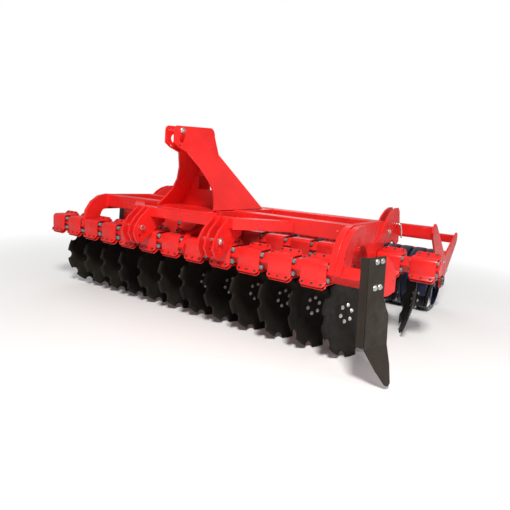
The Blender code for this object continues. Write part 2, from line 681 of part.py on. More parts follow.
def add_roller_frame():
    half = END_PLATE_INSIDE - GAP

    def tube(name, y, z, depth, height):
        piece = box((-half, y - depth / 2, z - height / 2), (half, y + depth / 2, z + height / 2))
        finish(piece, name, paint_red, ROLLER_PIVOT)

    tube("roller_front_tube", FRONT_TUBE_Y, FRONT_TUBE_Z, FRONT_TUBE_DEPTH, FRONT_TUBE_HEIGHT)
    tube("roller_rear_tube", REAR_TUBE_Y, REAR_TUBE_Z, REAR_TUBE_SIDE, REAR_TUBE_SIDE)
    tube("scraper_bar", SCRAPER_Y, SCRAPER_Z, SCRAPER_SIDE, SCRAPER_SIDE)
    end = plate(v_outline(), END_PLATE_THICKNESS, side_plane(END_PLATE_X))
    hole = round_hole((END_PLATE_X - 0.05, ROLLER_Y, ROLLER_Z),
                      (END_PLATE_X + 0.05, ROLLER_Y, ROLLER_Z), STUB_RADIUS + TURN_GAP, 16)
    end = combine(end, [hole], "DIFFERENCE")
    finish(moved(end, MIRROR_X), "roller_end_plate_left", paint_red, ROLLER_PIVOT)
    finish(end, "roller_end_plate_right", paint_red, ROLLER_PIVOT)


def add_roller_arms():
    """Flat arms from the pivots, between the ears, back to the front tube."""
    back = FRONT_TUBE_Y - FRONT_TUBE_DEPTH / 2 - GAP
    top, low = FRONT_TUBE_Z + ARM_DEPTH / 2, FRONT_TUBE_Z - ARM_DEPTH / 2
    outline = [(back, low), (back, top), (PIVOT_Y, top)]
    outline += arc((PIVOT_Y, FRONT_TUBE_Z), ARM_DEPTH / 2, 90, 270, 7)[1:]
    width = ARCH_THICKNESS - 2 * ARM_SIDE_CLEARANCE
    arm = plate(outline, width, side_plane(ARCH_X))
    hole = round_hole((ARCH_X - 0.05, PIVOT_Y, PIVOT_Z), (ARCH_X + 0.05, PIVOT_Y, PIVOT_Z),
                      PIVOT_PIN_RADIUS + TURN_GAP)
    arm = combine(arm, [hole], "DIFFERENCE")
    finish(moved(arm, MIRROR_X), "roller_arm_left", paint_red, ROLLER_PIVOT)
    finish(arm, "roller_arm_right", paint_red, ROLLER_PIVOT)
    reach = ARCH_THICKNESS / 2 + EAR_THICKNESS + 0.02
    for name, x in (("depth_pin_left", -ARCH_X), ("depth_pin_right", ARCH_X)):
        z = depth_pin_z()
        pin = rod((x - reach, DEPTH_PIN_Y, z), (x + reach, DEPTH_PIN_Y, z), DEPTH_PIN_RADIUS, 10)
        finish(pin, name, zinc)


def add_roller():
    """Drum with stub axles, turned about X; its rings are part of the finish."""
    stub_end = END_PLATE_X + END_PLATE_THICKNESS / 2 + 0.015
    drum = rod((-ROLLER_HALF, ROLLER_Y, ROLLER_Z), (ROLLER_HALF, ROLLER_Y, ROLLER_Z),
               ROLLER_RADIUS, 24)
    stubs = rod((-stub_end, ROLLER_Y, ROLLER_Z), (stub_end, ROLLER_Y, ROLLER_Z), STUB_RADIUS, 16)
    finish(combine(drum, [stubs]), "packer_roller", roller_navy, ROLLER_AXIS)


# ---------------------------------------------------------------- deflectors

def deflector_turn():
    """Place of the right deflector: its blade in Y and Z, turned and leaning outwards."""
    turn = Matrix.Rotation(-DEFLECTOR_TURN, 4, "Z") @ Matrix.Rotation(-DEFLECTOR_LEAN, 4, "Y")
    corner = (BEAM_REACH + DEFLECTOR_OUTSIDE, -DEFLECTOR_AHEAD, DEFLECTOR_TOP)
    return Matrix.Translation(corner) @ turn


def deflector_place(inwards):
    """Plane of the right deflector, moved inwards by a distance."""
    return deflector_turn() @ side_plane(-inwards)


def make_deflector():
    """Blade with a lip along its front edge and a foot that is bent outwards."""
    fold = -DEFLECTOR_FOLD
    outline = [(0, 0), (0.165, 0), (0.166, -0.235), (0.200, -0.31), (0.232, -0.36),
               (0.236, fold), (0.010, fold)]
    blade = plate(outline, DEFLECTOR_THICKNESS, deflector_place(0))
    lap = DEFLECTOR_THICKNESS / 2
    foot = [(0.010, lap), (0.236, lap), (0.222, -0.12), (0.198, -0.20)]
    foot += arc((0.163, -0.205), 0.034, 0, -140, 5) + [(0.075, -0.13)]
    bend = Matrix.Translation((0, fold, 0)) @ Matrix.Rotation(-DEFLECTOR_BEND, 4, "X")
    foot = plate(foot, DEFLECTOR_THICKNESS, deflector_place(0) @ bend)
    lip = box((-DEFLECTOR_LIP, -DEFLECTOR_THICKNESS / 2, fold + 0.01),
              (0, DEFLECTOR_THICKNESS / 2, -0.002))
    lip = moved(lip, deflector_turn())
    return combine(blade, [foot, lip])


def make_bracket():
    """Plate behind the deflector, on a square stub that the beam's end carries."""
    inwards = DEFLECTOR_THICKNESS / 2 + GAP + BRACKET_THICKNESS / 2
    outline = [(0.012, -0.02), (0.189, -0.005), (0.242, -0.045), (0.290, -0.114),
               (0.290, -0.225), (0.225, -0.245), (0.012, -0.245)]
    bracket = plate(outline, BRACKET_THICKNESS, deflector_place(inwards))
    half = STUB_SIDE / 2
    stub = box((BEAM_REACH + GAP, -half, BEAM_Z - half), (BEAM_REACH + 0.2, half, BEAM_Z + half))
    beyond = moved(box((-inwards, -1, -1), (1, 1, 1)), deflector_turn())
    return combine(bracket, [combine(stub, [beyond], "DIFFERENCE")])


def add_deflectors():
    rear_place = Matrix.Translation((0, ROW_SPACING, 0)) @ MIRROR_X
    for make, name, material in ((make_deflector, "side_deflector", disc_black),
                                 (make_bracket, "deflector_bracket", paint_red)):
        right = make()
        finish(moved(right, rear_place), name + "_left", material)
        finish(right, name + "_right", material)


# ---------------------------------------------------------------- build

empty_scene()
harrow = make_collection("disc_harrow")
scratch = make_collection("scratch")
paint_red = make_material("red paint", RED, 0.35, 0.0)
disc_black = make_material("black steel", BLACK, 0.5, 0.2)
roller_navy = make_material("roller navy", NAVY, 0.4, 0.2)
zinc = make_material("zinc plate", ZINC, 0.3, 1.0)

ground_centre = bpy.data.objects.new("ground_centre", None)
ground_centre.location = (0, -(LOWER_HITCH_FRONT + PLAN_BACK) / 2, 0)
harrow.objects.link(ground_centre)

add_disc_rows()
add_cross_tubes()
add_braces()
add_rails()
add_arches()
add_hangers()
add_headstock()
add_lower_hitch()
add_roller_frame()
add_roller_arms()
add_roller()
add_deflectors()
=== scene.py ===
# %% [markdown]
# # A compact disc harrow
#
# A disc harrow loosens and mixes the top of a field. Two rows of dished discs
# are set at an angle to the pull: the front row throws soil one way and the rear
# row throws it back. A ringed roller behind them presses the ground and sets
# the depth. This file dresses a finished frame of plain solids. Each cell makes
# one piece or one finish, and what moves rides on the body that carries it.

# %% Load the frame
import json
import math

import bmesh
import bpy
from mathutils import Matrix, Vector

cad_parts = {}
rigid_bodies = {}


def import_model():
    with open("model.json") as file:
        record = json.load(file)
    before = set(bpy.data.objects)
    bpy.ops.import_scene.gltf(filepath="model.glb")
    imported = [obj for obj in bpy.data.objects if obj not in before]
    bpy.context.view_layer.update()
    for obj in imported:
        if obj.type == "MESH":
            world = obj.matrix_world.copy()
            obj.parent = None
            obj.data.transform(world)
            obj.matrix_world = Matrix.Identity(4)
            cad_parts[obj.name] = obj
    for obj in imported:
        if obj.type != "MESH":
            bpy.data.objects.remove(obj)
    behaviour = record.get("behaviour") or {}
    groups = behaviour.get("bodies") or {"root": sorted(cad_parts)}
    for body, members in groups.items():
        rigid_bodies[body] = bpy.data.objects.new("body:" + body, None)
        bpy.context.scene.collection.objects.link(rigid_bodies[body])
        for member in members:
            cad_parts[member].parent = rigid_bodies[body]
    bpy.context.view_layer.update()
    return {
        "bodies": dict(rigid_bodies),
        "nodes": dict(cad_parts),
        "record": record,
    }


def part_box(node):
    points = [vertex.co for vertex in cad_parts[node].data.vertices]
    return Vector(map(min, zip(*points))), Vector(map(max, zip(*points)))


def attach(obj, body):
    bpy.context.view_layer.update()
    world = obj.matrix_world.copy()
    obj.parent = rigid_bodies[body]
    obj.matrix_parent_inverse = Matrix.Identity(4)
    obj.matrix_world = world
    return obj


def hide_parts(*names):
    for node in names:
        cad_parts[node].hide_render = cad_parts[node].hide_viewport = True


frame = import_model()
joints = {joint["child"]: joint for joint in frame["record"]["behaviour"]["joints"]}
MIRROR_X = Matrix.Scale(-1, 4, (1, 0, 0))

# %% [markdown]
# ## Camera
#
# A long machine changes its shape a lot with the spot it is seen from. The camera
# stands near the front right corner at shoulder height, looks a little down and
# is rolled by a few degrees. Three unit vectors say where its right, its up and
# its back point, and together they are its rotation.

# %% Camera
EYE = Vector((2.321, -3.764, 1.204))
RIGHT = Vector((0.8169, 0.5729, 0.0676)).normalized()
UP = Vector((-0.1483, 0.0953, 0.9844))
UP = (UP - RIGHT * UP.dot(RIGHT)).normalized()
camera_data = bpy.data.cameras.new("camera")
camera_data.lens = 31.51
camera_data.sensor_width = 36
camera_data.shift_x = 0.0271
camera_data.shift_y = -0.0162
camera = bpy.data.objects.new("camera", camera_data)
turn = Matrix((RIGHT, UP, RIGHT.cross(UP))).transposed().to_4x4()
camera.matrix_world = Matrix.Translation(EYE) @ turn
bpy.context.scene.collection.objects.link(camera)
bpy.context.scene.camera = camera
print("camera looks along", [round(v, 3) for v in RIGHT.cross(UP) * -1])

# %% [markdown]
# ## Helpers for meshes
#
# Every finished piece sits at the origin with its place in its mesh, as the
# frame's own solids do. So each shape is drawn near zero, moved with a matrix,
# and joined with its like in one bmesh. One function then turns that bmesh into
# a piece: it gives it normals, a finish, a small bevel and a body to ride on.


# %% Helpers for meshes
def new_object(name, bm):
    mesh = bpy.data.meshes.new(name)
    bm.to_mesh(mesh)
    bm.free()
    thing = bpy.data.objects.new(name, mesh)
    bpy.context.scene.collection.objects.link(thing)
    return thing


def add_bevel(thing, width, segments=2):
    bevel = thing.modifiers.new("rounded edges", "BEVEL")
    bevel.width = width
    bevel.segments = segments
    bevel.limit_method = "ANGLE"
    bevel.angle_limit = math.radians(32)
    bevel.harden_normals = True


def dress(thing, finish, body, bevel=0.0, sharp=35):
    """Give a made object its finish, its soft edges and the body it rides on."""
    thing.data.materials.clear()
    thing.data.materials.append(finish)
    thing.data.shade_smooth()
    thing.data.set_sharp_from_angle(angle=math.radians(sharp))
    if bevel:
        add_bevel(thing, bevel)
    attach(thing, body)
    return thing


def piece(name, bm, finish, body, bevel=0.0, sharp=35):
    bmesh.ops.recalc_face_normals(bm, faces=bm.faces)
    return dress(new_object(name, bm), finish, body, bevel, sharp)


def add_copy(bm, part, matrix):
    """Add a moved copy of one bmesh to another."""
    mesh = bpy.data.meshes.new("copy")
    part.to_mesh(mesh)
    mesh.transform(matrix)
    if matrix.determinant() < 0:
        mesh.flip_normals()
    bm.from_mesh(mesh)
    bpy.data.meshes.remove(mesh)


def add_box(bm, low, high, matrix=Matrix()):
    low, high = Vector(low), Vector(high)
    made = bmesh.ops.create_cube(bm, size=1)["verts"]
    bmesh.ops.scale(bm, vec=high - low, verts=made)
    bmesh.ops.translate(bm, vec=(low + high) / 2, verts=made)
    bmesh.ops.transform(bm, matrix=matrix, verts=made)


def add_rod(bm, start, end, radius, sides=20, end_radius=None):
    start, end = Vector(start), Vector(end)
    made = bmesh.ops.create_cone(bm, cap_ends=True, segments=sides, radius1=radius,
                                 radius2=radius if end_radius is None else end_radius,
                                 depth=(end - start).length)["verts"]
    turned = (end - start).to_track_quat("Z", "Y").to_matrix().to_4x4()
    bmesh.ops.transform(bm, matrix=Matrix.Translation((start + end) / 2) @ turned, verts=made)


def add_turned(bm, profile, matrix=Matrix(), sides=32):
    """Spin (radius, height) points about Z into a closed turned shape."""
    rings = []
    for radius, height in profile:
        if radius < 1e-6:
            rings.append([bm.verts.new((0, 0, height))])
            continue
        angles = [2 * math.pi * i / sides for i in range(sides)]
        rings.append([bm.verts.new((radius * math.cos(a), radius * math.sin(a), height))
                      for a in angles])
    for low, high in zip(rings, rings[1:]):
        for i in range(sides):
            corners = [low[i % len(low)], low[(i + 1) % len(low)],
                       high[(i + 1) % len(high)], high[i % len(high)]]
            bm.faces.new(list(dict.fromkeys(corners)))
    bmesh.ops.transform(bm, matrix=matrix, verts=[v for ring in rings for v in ring])


def add_plate(bm, outline, thickness, matrix=Matrix()):
    """A flat outline in X and Y, thickened to both sides of its plane."""
    half = thickness / 2
    top = [bm.verts.new((u, v, half)) for u, v in outline]
    low = [bm.verts.new((u, v, -half)) for u, v in outline]
    bm.faces.new(top)
    bm.faces.new(low[::-1])
    for i in range(len(outline)):
        j = (i + 1) % len(outline)
        bm.faces.new((low[i], low[j], top[j], top[i]))
    bmesh.ops.transform(bm, matrix=matrix, verts=top + low)


def arc(centre, radius, start, end, count):
    angles = [math.radians(start + (end - start) * i / (count - 1)) for i in range(count)]
    return [(centre[0] + radius * math.cos(a), centre[1] + radius * math.sin(a)) for a in angles]


def facing(direction, place=(0, 0, 0)):
    """Matrix that turns +Z to a direction and moves the origin to a place."""
    turned = Vector(direction).to_track_quat("Z", "Y").to_matrix().to_4x4()
    return Matrix.Translation(place) @ turned


print("helpers ready")

# %% [markdown]
# ## Finishes
#
# Farm machines are sprayed with one gloss coat over steel. Such a coat is never
# even: it is thinner in places, it shows fine scratches from loading straps, and
# dust dulls it. A noise moves the colour and the roughness a little, and a second
# noise, stretched a hundredfold, leaves short pale scratches. A clear coat on the
# shader gives the wet highlight. All patterns read Object coordinates, which are
# the machine's own, so they lie still on every piece.


# %% A node helper and the paint finishes
def link(tree, source, output, target, inlet):
    tree.links.new(source.outputs[output], target.inputs[inlet])


def new_finish(name, colour, roughness, metallic, specular=0.5):
    material = bpy.data.materials.new(name)
    material.use_nodes = True
    shader = material.node_tree.nodes["Principled BSDF"]
    shader.inputs["Base Color"].default_value = (*colour, 1)
    shader.inputs["Roughness"].default_value = roughness
    shader.inputs["Metallic"].default_value = metallic
    shader.inputs["Specular IOR Level"].default_value = specular
    return material, material.node_tree, shader


def noise(tree, coordinates, scale, detail=4, stretch=(1, 1, 1), turned=(0, 0, 0)):
    mapping = tree.nodes.new("ShaderNodeMapping")
    mapping.inputs["Scale"].default_value = stretch
    mapping.inputs["Rotation"].default_value = turned
    link(tree, coordinates, "Object", mapping, "Vector")
    texture = tree.nodes.new("ShaderNodeTexNoise")
    texture.inputs["Scale"].default_value = scale
    texture.inputs["Detail"].default_value = detail
    link(tree, mapping, "Vector", texture, "Vector")
    return texture


def spread(tree, source, low, high, new_low=0.0, new_high=1.0):
    """Stretch the part of a pattern between two values over a new range."""
    node = tree.nodes.new("ShaderNodeMapRange")
    for inlet, value in zip(("From Min", "From Max", "To Min", "To Max"),
                            (low, high, new_low, new_high)):
        node.inputs[inlet].default_value = value
    tree.links.new(source, node.inputs["Value"])
    return node.outputs["Result"]


def blend_colour(tree, share, first, second):
    node = tree.nodes.new("ShaderNodeMix")
    node.data_type = "RGBA"
    tree.links.new(share, node.inputs["Factor"])
    for socket, value in ((node.inputs[6], first), (node.inputs[7], second)):
        if isinstance(value, tuple):
            socket.default_value = (*value, 1)
        else:
            tree.links.new(value, socket)
    return node.outputs[2]


def paint(name, colour, deep, scratch, roughness, coat, scratch_share=1.0, specular=0.3):
    """Sprayed coat: slow change of tone, fine orange peel and a few scratches."""
    material, tree, shader = new_finish(name, colour, roughness, 0.0, specular)
    coordinates = tree.nodes.new("ShaderNodeTexCoord")
    slow = noise(tree, coordinates, 3.0, 5)
    tone = blend_colour(tree, spread(tree, slow.outputs["Fac"], 0.35, 0.7), colour, deep)
    lines = noise(tree, coordinates, 5.0, 3, (2, 55, 9), (0.5, 0.8, 0.4))
    patches = noise(tree, coordinates, 6.0, 2)
    line = spread(tree, lines.outputs["Fac"], 0.735, 0.76)
    patch = spread(tree, patches.outputs["Fac"], 0.5, 0.6, 0.0, scratch_share)
    both = tree.nodes.new("ShaderNodeMath")
    both.operation = "MULTIPLY"
    tree.links.new(line, both.inputs[0])
    tree.links.new(patch, both.inputs[1])
    worn = blend_colour(tree, both.outputs[0], tone, scratch)
    tree.links.new(worn, shader.inputs["Base Color"])
    dust = noise(tree, coordinates, 14.0, 6)
    rough = spread(tree, dust.outputs["Fac"], 0.3, 0.75, roughness * 0.75, roughness * 1.5)
    tree.links.new(rough, shader.inputs["Roughness"])
    peel = noise(tree, coordinates, 260.0, 2)
    bump = tree.nodes.new("ShaderNodeBump")
    bump.inputs["Strength"].default_value = 0.06
    bump.inputs["Distance"].default_value = 0.0006
    link(tree, peel, "Fac", bump, "Height")
    link(tree, bump, "Normal", shader, "Normal")
    shader.inputs["Coat Weight"].default_value = coat
    shader.inputs["Coat Roughness"].default_value = 0.12
    return material


def metal(name, colour, dull, roughness):
    """Bare or plated metal with cloudy passivation and fine grain."""
    material, tree, shader = new_finish(name, colour, roughness, 1.0)
    coordinates = tree.nodes.new("ShaderNodeTexCoord")
    cloud = noise(tree, coordinates, 45.0, 5)
    tone = blend_colour(tree, spread(tree, cloud.outputs["Fac"], 0.4, 0.65), colour, dull)
    tree.links.new(tone, shader.inputs["Base Color"])
    grain = noise(tree, coordinates, 400.0, 3)
    rough = spread(tree, grain.outputs["Fac"], 0.3, 0.7, roughness * 0.7, roughness * 1.4)
    tree.links.new(rough, shader.inputs["Roughness"])
    return material


red_gloss = paint("red_gloss_paint", (0.79, 0.017, 0.015), (0.62, 0.012, 0.011),
                  (0.92, 0.30, 0.26), 0.32, 0.18)
red_weld = paint("red_weld_paint", (0.82, 0.03, 0.028), (0.70, 0.014, 0.014),
                 (0.92, 0.34, 0.30), 0.38, 0.15, 0.3)
disc_paint = paint("disc_black_paint", (0.016, 0.0135, 0.010), (0.007, 0.006, 0.005),
                   (0.12, 0.11, 0.095), 0.50, 0.0, specular=0.16)
arm_paint = paint("arm_black_paint", (0.009, 0.009, 0.010), (0.006, 0.006, 0.007),
                  (0.10, 0.09, 0.085), 0.42, 0.05, specular=0.2)
deflector_paint = paint("deflector_paint", (0.034, 0.026, 0.019), (0.022, 0.016, 0.012),
                        (0.14, 0.125, 0.10), 0.50, 0.0, specular=0.2)
navy_paint = paint("roller_navy_paint", (0.011, 0.014, 0.038), (0.007, 0.009, 0.024),
                   (0.24, 0.26, 0.32), 0.34, 0.2)
zinc = metal("bright_zinc", (0.82, 0.82, 0.80), (0.62, 0.61, 0.58), 0.30)
thread_steel = metal("dark_thread_steel", (0.16, 0.15, 0.15), (0.08, 0.075, 0.07), 0.45)
print("finishes:", len(bpy.data.materials))

# %% [markdown]
# Rubber is the one soft finish here. The four rods of each clamp are a dark grey
# compound with a chalky bloom, so the colour wanders and the surface is rough.

# %% Rubber finish
rubber, rubber_tree, rubber_shader = new_finish("grey_rubber", (0.20, 0.20, 0.21), 0.8, 0.0, 0.2)
rubber_place = rubber_tree.nodes.new("ShaderNodeTexCoord")
bloom = noise(rubber_tree, rubber_place, 60.0, 4)
bloom_share = spread(rubber_tree, bloom.outputs["Fac"], 0.35, 0.65)
rubber_colour = blend_colour(rubber_tree, bloom_share, (0.12, 0.12, 0.125), (0.30, 0.30, 0.30))
rubber_tree.links.new(rubber_colour, rubber_shader.inputs["Base Color"])
print("rubber ready")

# %% [markdown]
# ## Bolts, by Geometry Nodes
#
# A harrow has several hundred bolts of a few sizes. Each set is drawn as loose
# points with a direction, and one tree puts a washer, a hexagon and a thread end
# on every point. The sizes are inputs of the tree, so one tree serves every set.


# %% Bolt tree
def new_tree(name, inputs):
    tree = bpy.data.node_groups.new(name, "GeometryNodeTree")
    tree.interface.new_socket("Geometry", in_out="INPUT", socket_type="NodeSocketGeometry")
    for title, kind, value in inputs:
        socket = tree.interface.new_socket(title, in_out="INPUT", socket_type=kind)
        if value is not None:
            socket.default_value = value
    tree.interface.new_socket("Geometry", in_out="OUTPUT", socket_type="NodeSocketGeometry")
    return tree, tree.nodes.new("NodeGroupInput"), tree.nodes.new("NodeGroupOutput")


def maths(tree, operation, first, second):
    node = tree.nodes.new("ShaderNodeMath")
    node.operation = operation
    for socket, value in zip(node.inputs, (first, second)):
        if isinstance(value, (int, float)):
            socket.default_value = value
        else:
            tree.links.new(value, socket)
    return node.outputs[0]


def solid(tree, vertices, radius, low, high):
    """A cylinder node standing on Z between two heights."""
    cylinder = tree.nodes.new("GeometryNodeMeshCylinder")
    cylinder.inputs["Vertices"].default_value = vertices
    tree.links.new(radius, cylinder.inputs["Radius"])
    tree.links.new(maths(tree, "SUBTRACT", high, low), cylinder.inputs["Depth"])
    place = tree.nodes.new("ShaderNodeCombineXYZ")
    middle = maths(tree, "MULTIPLY", maths(tree, "ADD", low, high), 0.5)
    tree.links.new(middle, place.inputs["Z"])
    move = tree.nodes.new("GeometryNodeTransform")
    link(tree, cylinder, "Mesh", move, "Geometry")
    link(tree, place, "Vector", move, "Translation")
    return move


bolt_tree, given, result = new_tree("bolt set", [
    ("Across flats", "NodeSocketFloat", 0.019), ("Head height", "NodeSocketFloat", 0.010),
    ("Thread", "NodeSocketFloat", 0.004), ("Finish", "NodeSocketMaterial", None)])
width, height, thread = given.outputs[1], given.outputs[2], given.outputs[3]
washer_top = maths(bolt_tree, "MULTIPLY", height, 0.22)
parts = [
    solid(bolt_tree, 16, maths(bolt_tree, "MULTIPLY", width, 0.80), 0.0, washer_top),
    solid(bolt_tree, 6, maths(bolt_tree, "MULTIPLY", width, 0.577), washer_top, height),
    solid(bolt_tree, 10, maths(bolt_tree, "MULTIPLY", width, 0.30), height,
          maths(bolt_tree, "ADD", height, thread))]
join = bolt_tree.nodes.new("GeometryNodeJoinGeometry")
for part in parts:
    link(bolt_tree, part, "Geometry", join, "Geometry")
axis = bolt_tree.nodes.new("GeometryNodeInputNamedAttribute")
axis.data_type = "FLOAT_VECTOR"
axis.inputs["Name"].default_value = "axis"
align = bolt_tree.nodes.new("FunctionNodeAlignRotationToVector")
align.axis = "Z"
link(bolt_tree, axis, "Attribute", align, "Vector")
repeat = bolt_tree.nodes.new("GeometryNodeInstanceOnPoints")
link(bolt_tree, given, "Geometry", repeat, "Points")
link(bolt_tree, join, "Geometry", repeat, "Instance")
link(bolt_tree, align, "Rotation", repeat, "Rotation")
real = bolt_tree.nodes.new("GeometryNodeRealizeInstances")
link(bolt_tree, repeat, "Instances", real, "Geometry")
dressed = bolt_tree.nodes.new("GeometryNodeSetMaterial")
link(bolt_tree, real, "Geometry", dressed, "Geometry")
link(bolt_tree, given, "Finish", dressed, "Material")
link(bolt_tree, dressed, "Geometry", result, "Geometry")
print("bolt tree:", len(bolt_tree.nodes), "nodes")


# %% Baking a tree's result into a plain mesh
def run_tree(name, source, tree, values):
    """Run a tree on an object and return its result as a plain object."""
    modifier = source.modifiers.new("tree", "NODES")
    modifier.node_group = tree
    for item in tree.interface.items_tree:
        if item.in_out == "INPUT" and item.name in values:
            modifier[item.identifier] = values[item.name]
    bpy.context.view_layer.update()
    evaluated = source.evaluated_get(bpy.context.evaluated_depsgraph_get())
    mesh = bpy.data.meshes.new_from_object(evaluated)
    bpy.data.objects.remove(source)
    for attribute in [a for a in mesh.attributes if a.name == "axis"]:
        mesh.attributes.remove(attribute)
    thing = bpy.data.objects.new(name, mesh)
    bpy.context.scene.collection.objects.link(thing)
    return thing


def bolt_set(name, places, finish, body, across=0.019, high=0.010, thread_out=0.004):
    """Places are pairs: where a bolt's seat is, and the way its head points."""
    bm = bmesh.new()
    layer = bm.verts.layers.float_vector.new("axis")
    for spot, direction in places:
        vertex = bm.verts.new(spot)
        vertex[layer] = Vector(direction).normalized()
    source = new_object(name + "_points", bm)
    bolts = run_tree(name, source, bolt_tree, {
        "Across flats": across, "Head height": high, "Thread": thread_out, "Finish": finish})
    return dress(bolts, finish, body, sharp=25)


print("bolt sets can be made")

# %% [markdown]
# ## Discs
#
# Each disc is a dished steel plate with ten notches, which help it roll and cut
# straw. Turning a profile gives the dish, but not the notches, so the blade is
# drawn ring by ring with a rim radius that changes with the angle: full on the
# teeth and half an ellipse less in a notch. Solidify then gives it its thickness.

# %% Disc blade
DISC_RADIUS = 0.2955
DISC_CENTRE = 0.08
DISH_DEPTH = 0.05
DISC_THICKNESS = 0.006
NOTCHES = 10
NOTCH_DEPTH = 0.038
TOOTH_SHARE = 0.58
TOOTH_POINTS = 5
NOTCH_POINTS = 9
BLADE_RINGS = 7


def rim_points():
    """Angle and radius of each rim point, notch by notch."""
    step = 2 * math.pi / NOTCHES
    points = []
    for notch in range(NOTCHES):
        middle = (notch + 0.5) * step
        for i in range(TOOTH_POINTS):
            share = i / TOOTH_POINTS - 0.5
            points.append((middle + share * TOOTH_SHARE * step, DISC_RADIUS))
        for i in range(NOTCH_POINTS):
            sweep = math.pi * i / NOTCH_POINTS
            share = 0.5 - 0.5 * math.cos(sweep)
            angle = middle + (TOOTH_SHARE / 2 + share * (1 - TOOTH_SHARE)) * step
            points.append((angle, DISC_RADIUS - NOTCH_DEPTH * math.sin(sweep)))
    return points


def dish_height(radius):
    """Height of the dish: part of a large ball from the flat centre to the rim."""
    out = max(radius - DISC_CENTRE, 0) / (DISC_RADIUS - DISC_CENTRE)
    return DISH_DEPTH * (0.72 * out + 0.28 * out * out)


def make_blade():
    bm = bmesh.new()
    rings = []
    for index in range(BLADE_RINGS):
        share = index / (BLADE_RINGS - 1)
        ring = []
        for angle, rim in rim_points():
            radius = DISC_CENTRE + (rim - DISC_CENTRE) * share
            height = dish_height(radius)
            ring.append(bm.verts.new((radius * math.cos(angle), radius * math.sin(angle), height)))
        rings.append(ring)
    bm.faces.new(rings[0])
    for low, high in zip(rings, rings[1:]):
        for i in range(len(low)):
            j = (i + 1) % len(low)
            bm.faces.new((low[i], low[j], high[j], high[i]))
    return bm


blade = make_blade()
print("blade faces:", len(blade.faces))

# %% [markdown]
# Behind the blade sits a sealed hub: a bolting flange, the bearing's housing and
# a ribbed dust cap seal. It is a turned shape. Six zinc bolts come through from
# the hollow side. One disc is made in its own axes and then copied to each joint.

# %% Hub and disc pieces
HUB_LENGTH = 0.075
BOLT_CIRCLE = 0.0585
hub = bmesh.new()
add_turned(hub, [(0, -0.0032), (0.076, -0.0032), (0.076, -0.013), (0.074, -0.015), (0.052, -0.016),
                 (0.045, -0.024), (0.045, -0.050), (0.042, -0.053), (0.042, -0.058),
                 (0.045, -0.060), (0.045, -0.073), (0.043, -HUB_LENGTH), (0.019, -HUB_LENGTH),
                 (0.0185, -0.030), (0, -0.030)])
bolt_angles = [math.pi / 3 * i + 0.2 for i in range(6)]
bolt_seats = [Vector((BOLT_CIRCLE * math.cos(angle), BOLT_CIRCLE * math.sin(angle), 0))
              for angle in bolt_angles]
disc_names = sorted(name for name in frame["bodies"] if "_disc_" in name)
for name in disc_names:
    place = facing(joints[name]["axis"], joints[name]["pos_m"])
    shape = bmesh.new()
    add_copy(shape, blade, place)
    made_blade = piece(name + "_blade", shape, disc_paint, name, sharp=40)
    wall = made_blade.modifiers.new("plate thickness", "SOLIDIFY")
    wall.thickness = DISC_THICKNESS
    wall.offset = 0
    shape = bmesh.new()
    add_copy(shape, hub, place)
    piece(name + "_hub", shape, arm_paint, name, sharp=30)
    turned = place.to_3x3()
    heads = [(place @ (seat + Vector((0, 0, DISC_THICKNESS / 2))), turned @ Vector((0, 0, 1)))
             for seat in bolt_seats]
    nuts = [(place @ (seat * 1.08 + Vector((0, 0, -0.0155))), turned @ Vector((0, 0, -1)))
            for seat in bolt_seats]
    bolt_set(name + "_bolts", heads + nuts, zinc, name, 0.018, 0.009, 0.003)
    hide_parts(name)
print("discs:", len(disc_names))

# %% [markdown]
# ## Spring clamps
#
# Each arm hangs on the beam in a clamp that works as a spring. The beam is a
# square tube on its edge, two folded shells close round it, and a rubber rod sits
# in each of the four corners between them. When a disc meets a stone, the shells
# turn and squeeze the rods. A shell is one strip of plate with two rounded folds,
# so it is drawn as a line of points from the side, swept along the beam, and
# narrowed at both ends where the flange's corners are cut off.

# %% Clamp shell
DISC_SIDEWAYS = 0.11
DISC_BEHIND = 0.28
BEAM_Z = 0.61
BEAM_SIDE = 0.09
CLAMP_HALF = 0.09
SHELL_WALL = 0.009
SHELL_SIDE = 0.070
FLANGE_REACH = 0.13
CORNER_CUT = 0.020


def along_flange(distance, off):
    """A point on the clamp's split plane, moved off it towards the front shell."""
    slope = math.sqrt(0.5)
    return (slope * (distance - off), slope * (distance + off))


def shell_line():
    """Side view of the front shell: Y and Z from the beam's centre, rear end first."""
    line = [along_flange(FLANGE_REACH, SHELL_WALL),
            along_flange(FLANGE_REACH - CORNER_CUT, SHELL_WALL),
            along_flange(0.092, SHELL_WALL), along_flange(0.084, SHELL_WALL * 1.25)]
    line += [(0.034, SHELL_SIDE)]
    line += arc((-0.046, SHELL_SIDE - 0.024), 0.024, 90, 180, 6)
    line += [(-SHELL_SIDE, -0.034)]
    low = [(-v, -u) for u, v in line[:4]]
    return line + low[::-1]


def make_shell():
    bm = bmesh.new()
    line = shell_line()
    rows = []
    for index, (y, z) in enumerate(line):
        half = CLAMP_HALF - (CORNER_CUT * 0.8 if index in (0, len(line) - 1) else 0)
        rows.append([bm.verts.new((x, y, z)) for x in (-half, half)])
    for (a, b), (c, d) in zip(rows, rows[1:]):
        bm.faces.new((a, b, d, c))
    thing = new_object("shell", bm)
    wall = thing.modifiers.new("wall", "SOLIDIFY")
    wall.thickness = SHELL_WALL
    wall.offset = -1
    wall.use_even_offset = True
    bevel = thing.modifiers.new("edge", "BEVEL")
    bevel.width = 0.0018
    bevel.segments = 2
    bevel.limit_method = "ANGLE"
    bevel.angle_limit = math.radians(50)
    evaluated = thing.evaluated_get(bpy.context.evaluated_depsgraph_get())
    bm = bmesh.new()
    bm.from_mesh(evaluated.to_mesh())
    bpy.data.objects.remove(thing)
    return bm


bpy.context.view_layer.update()
shell = make_shell()
print("shell faces:", len(shell.faces))

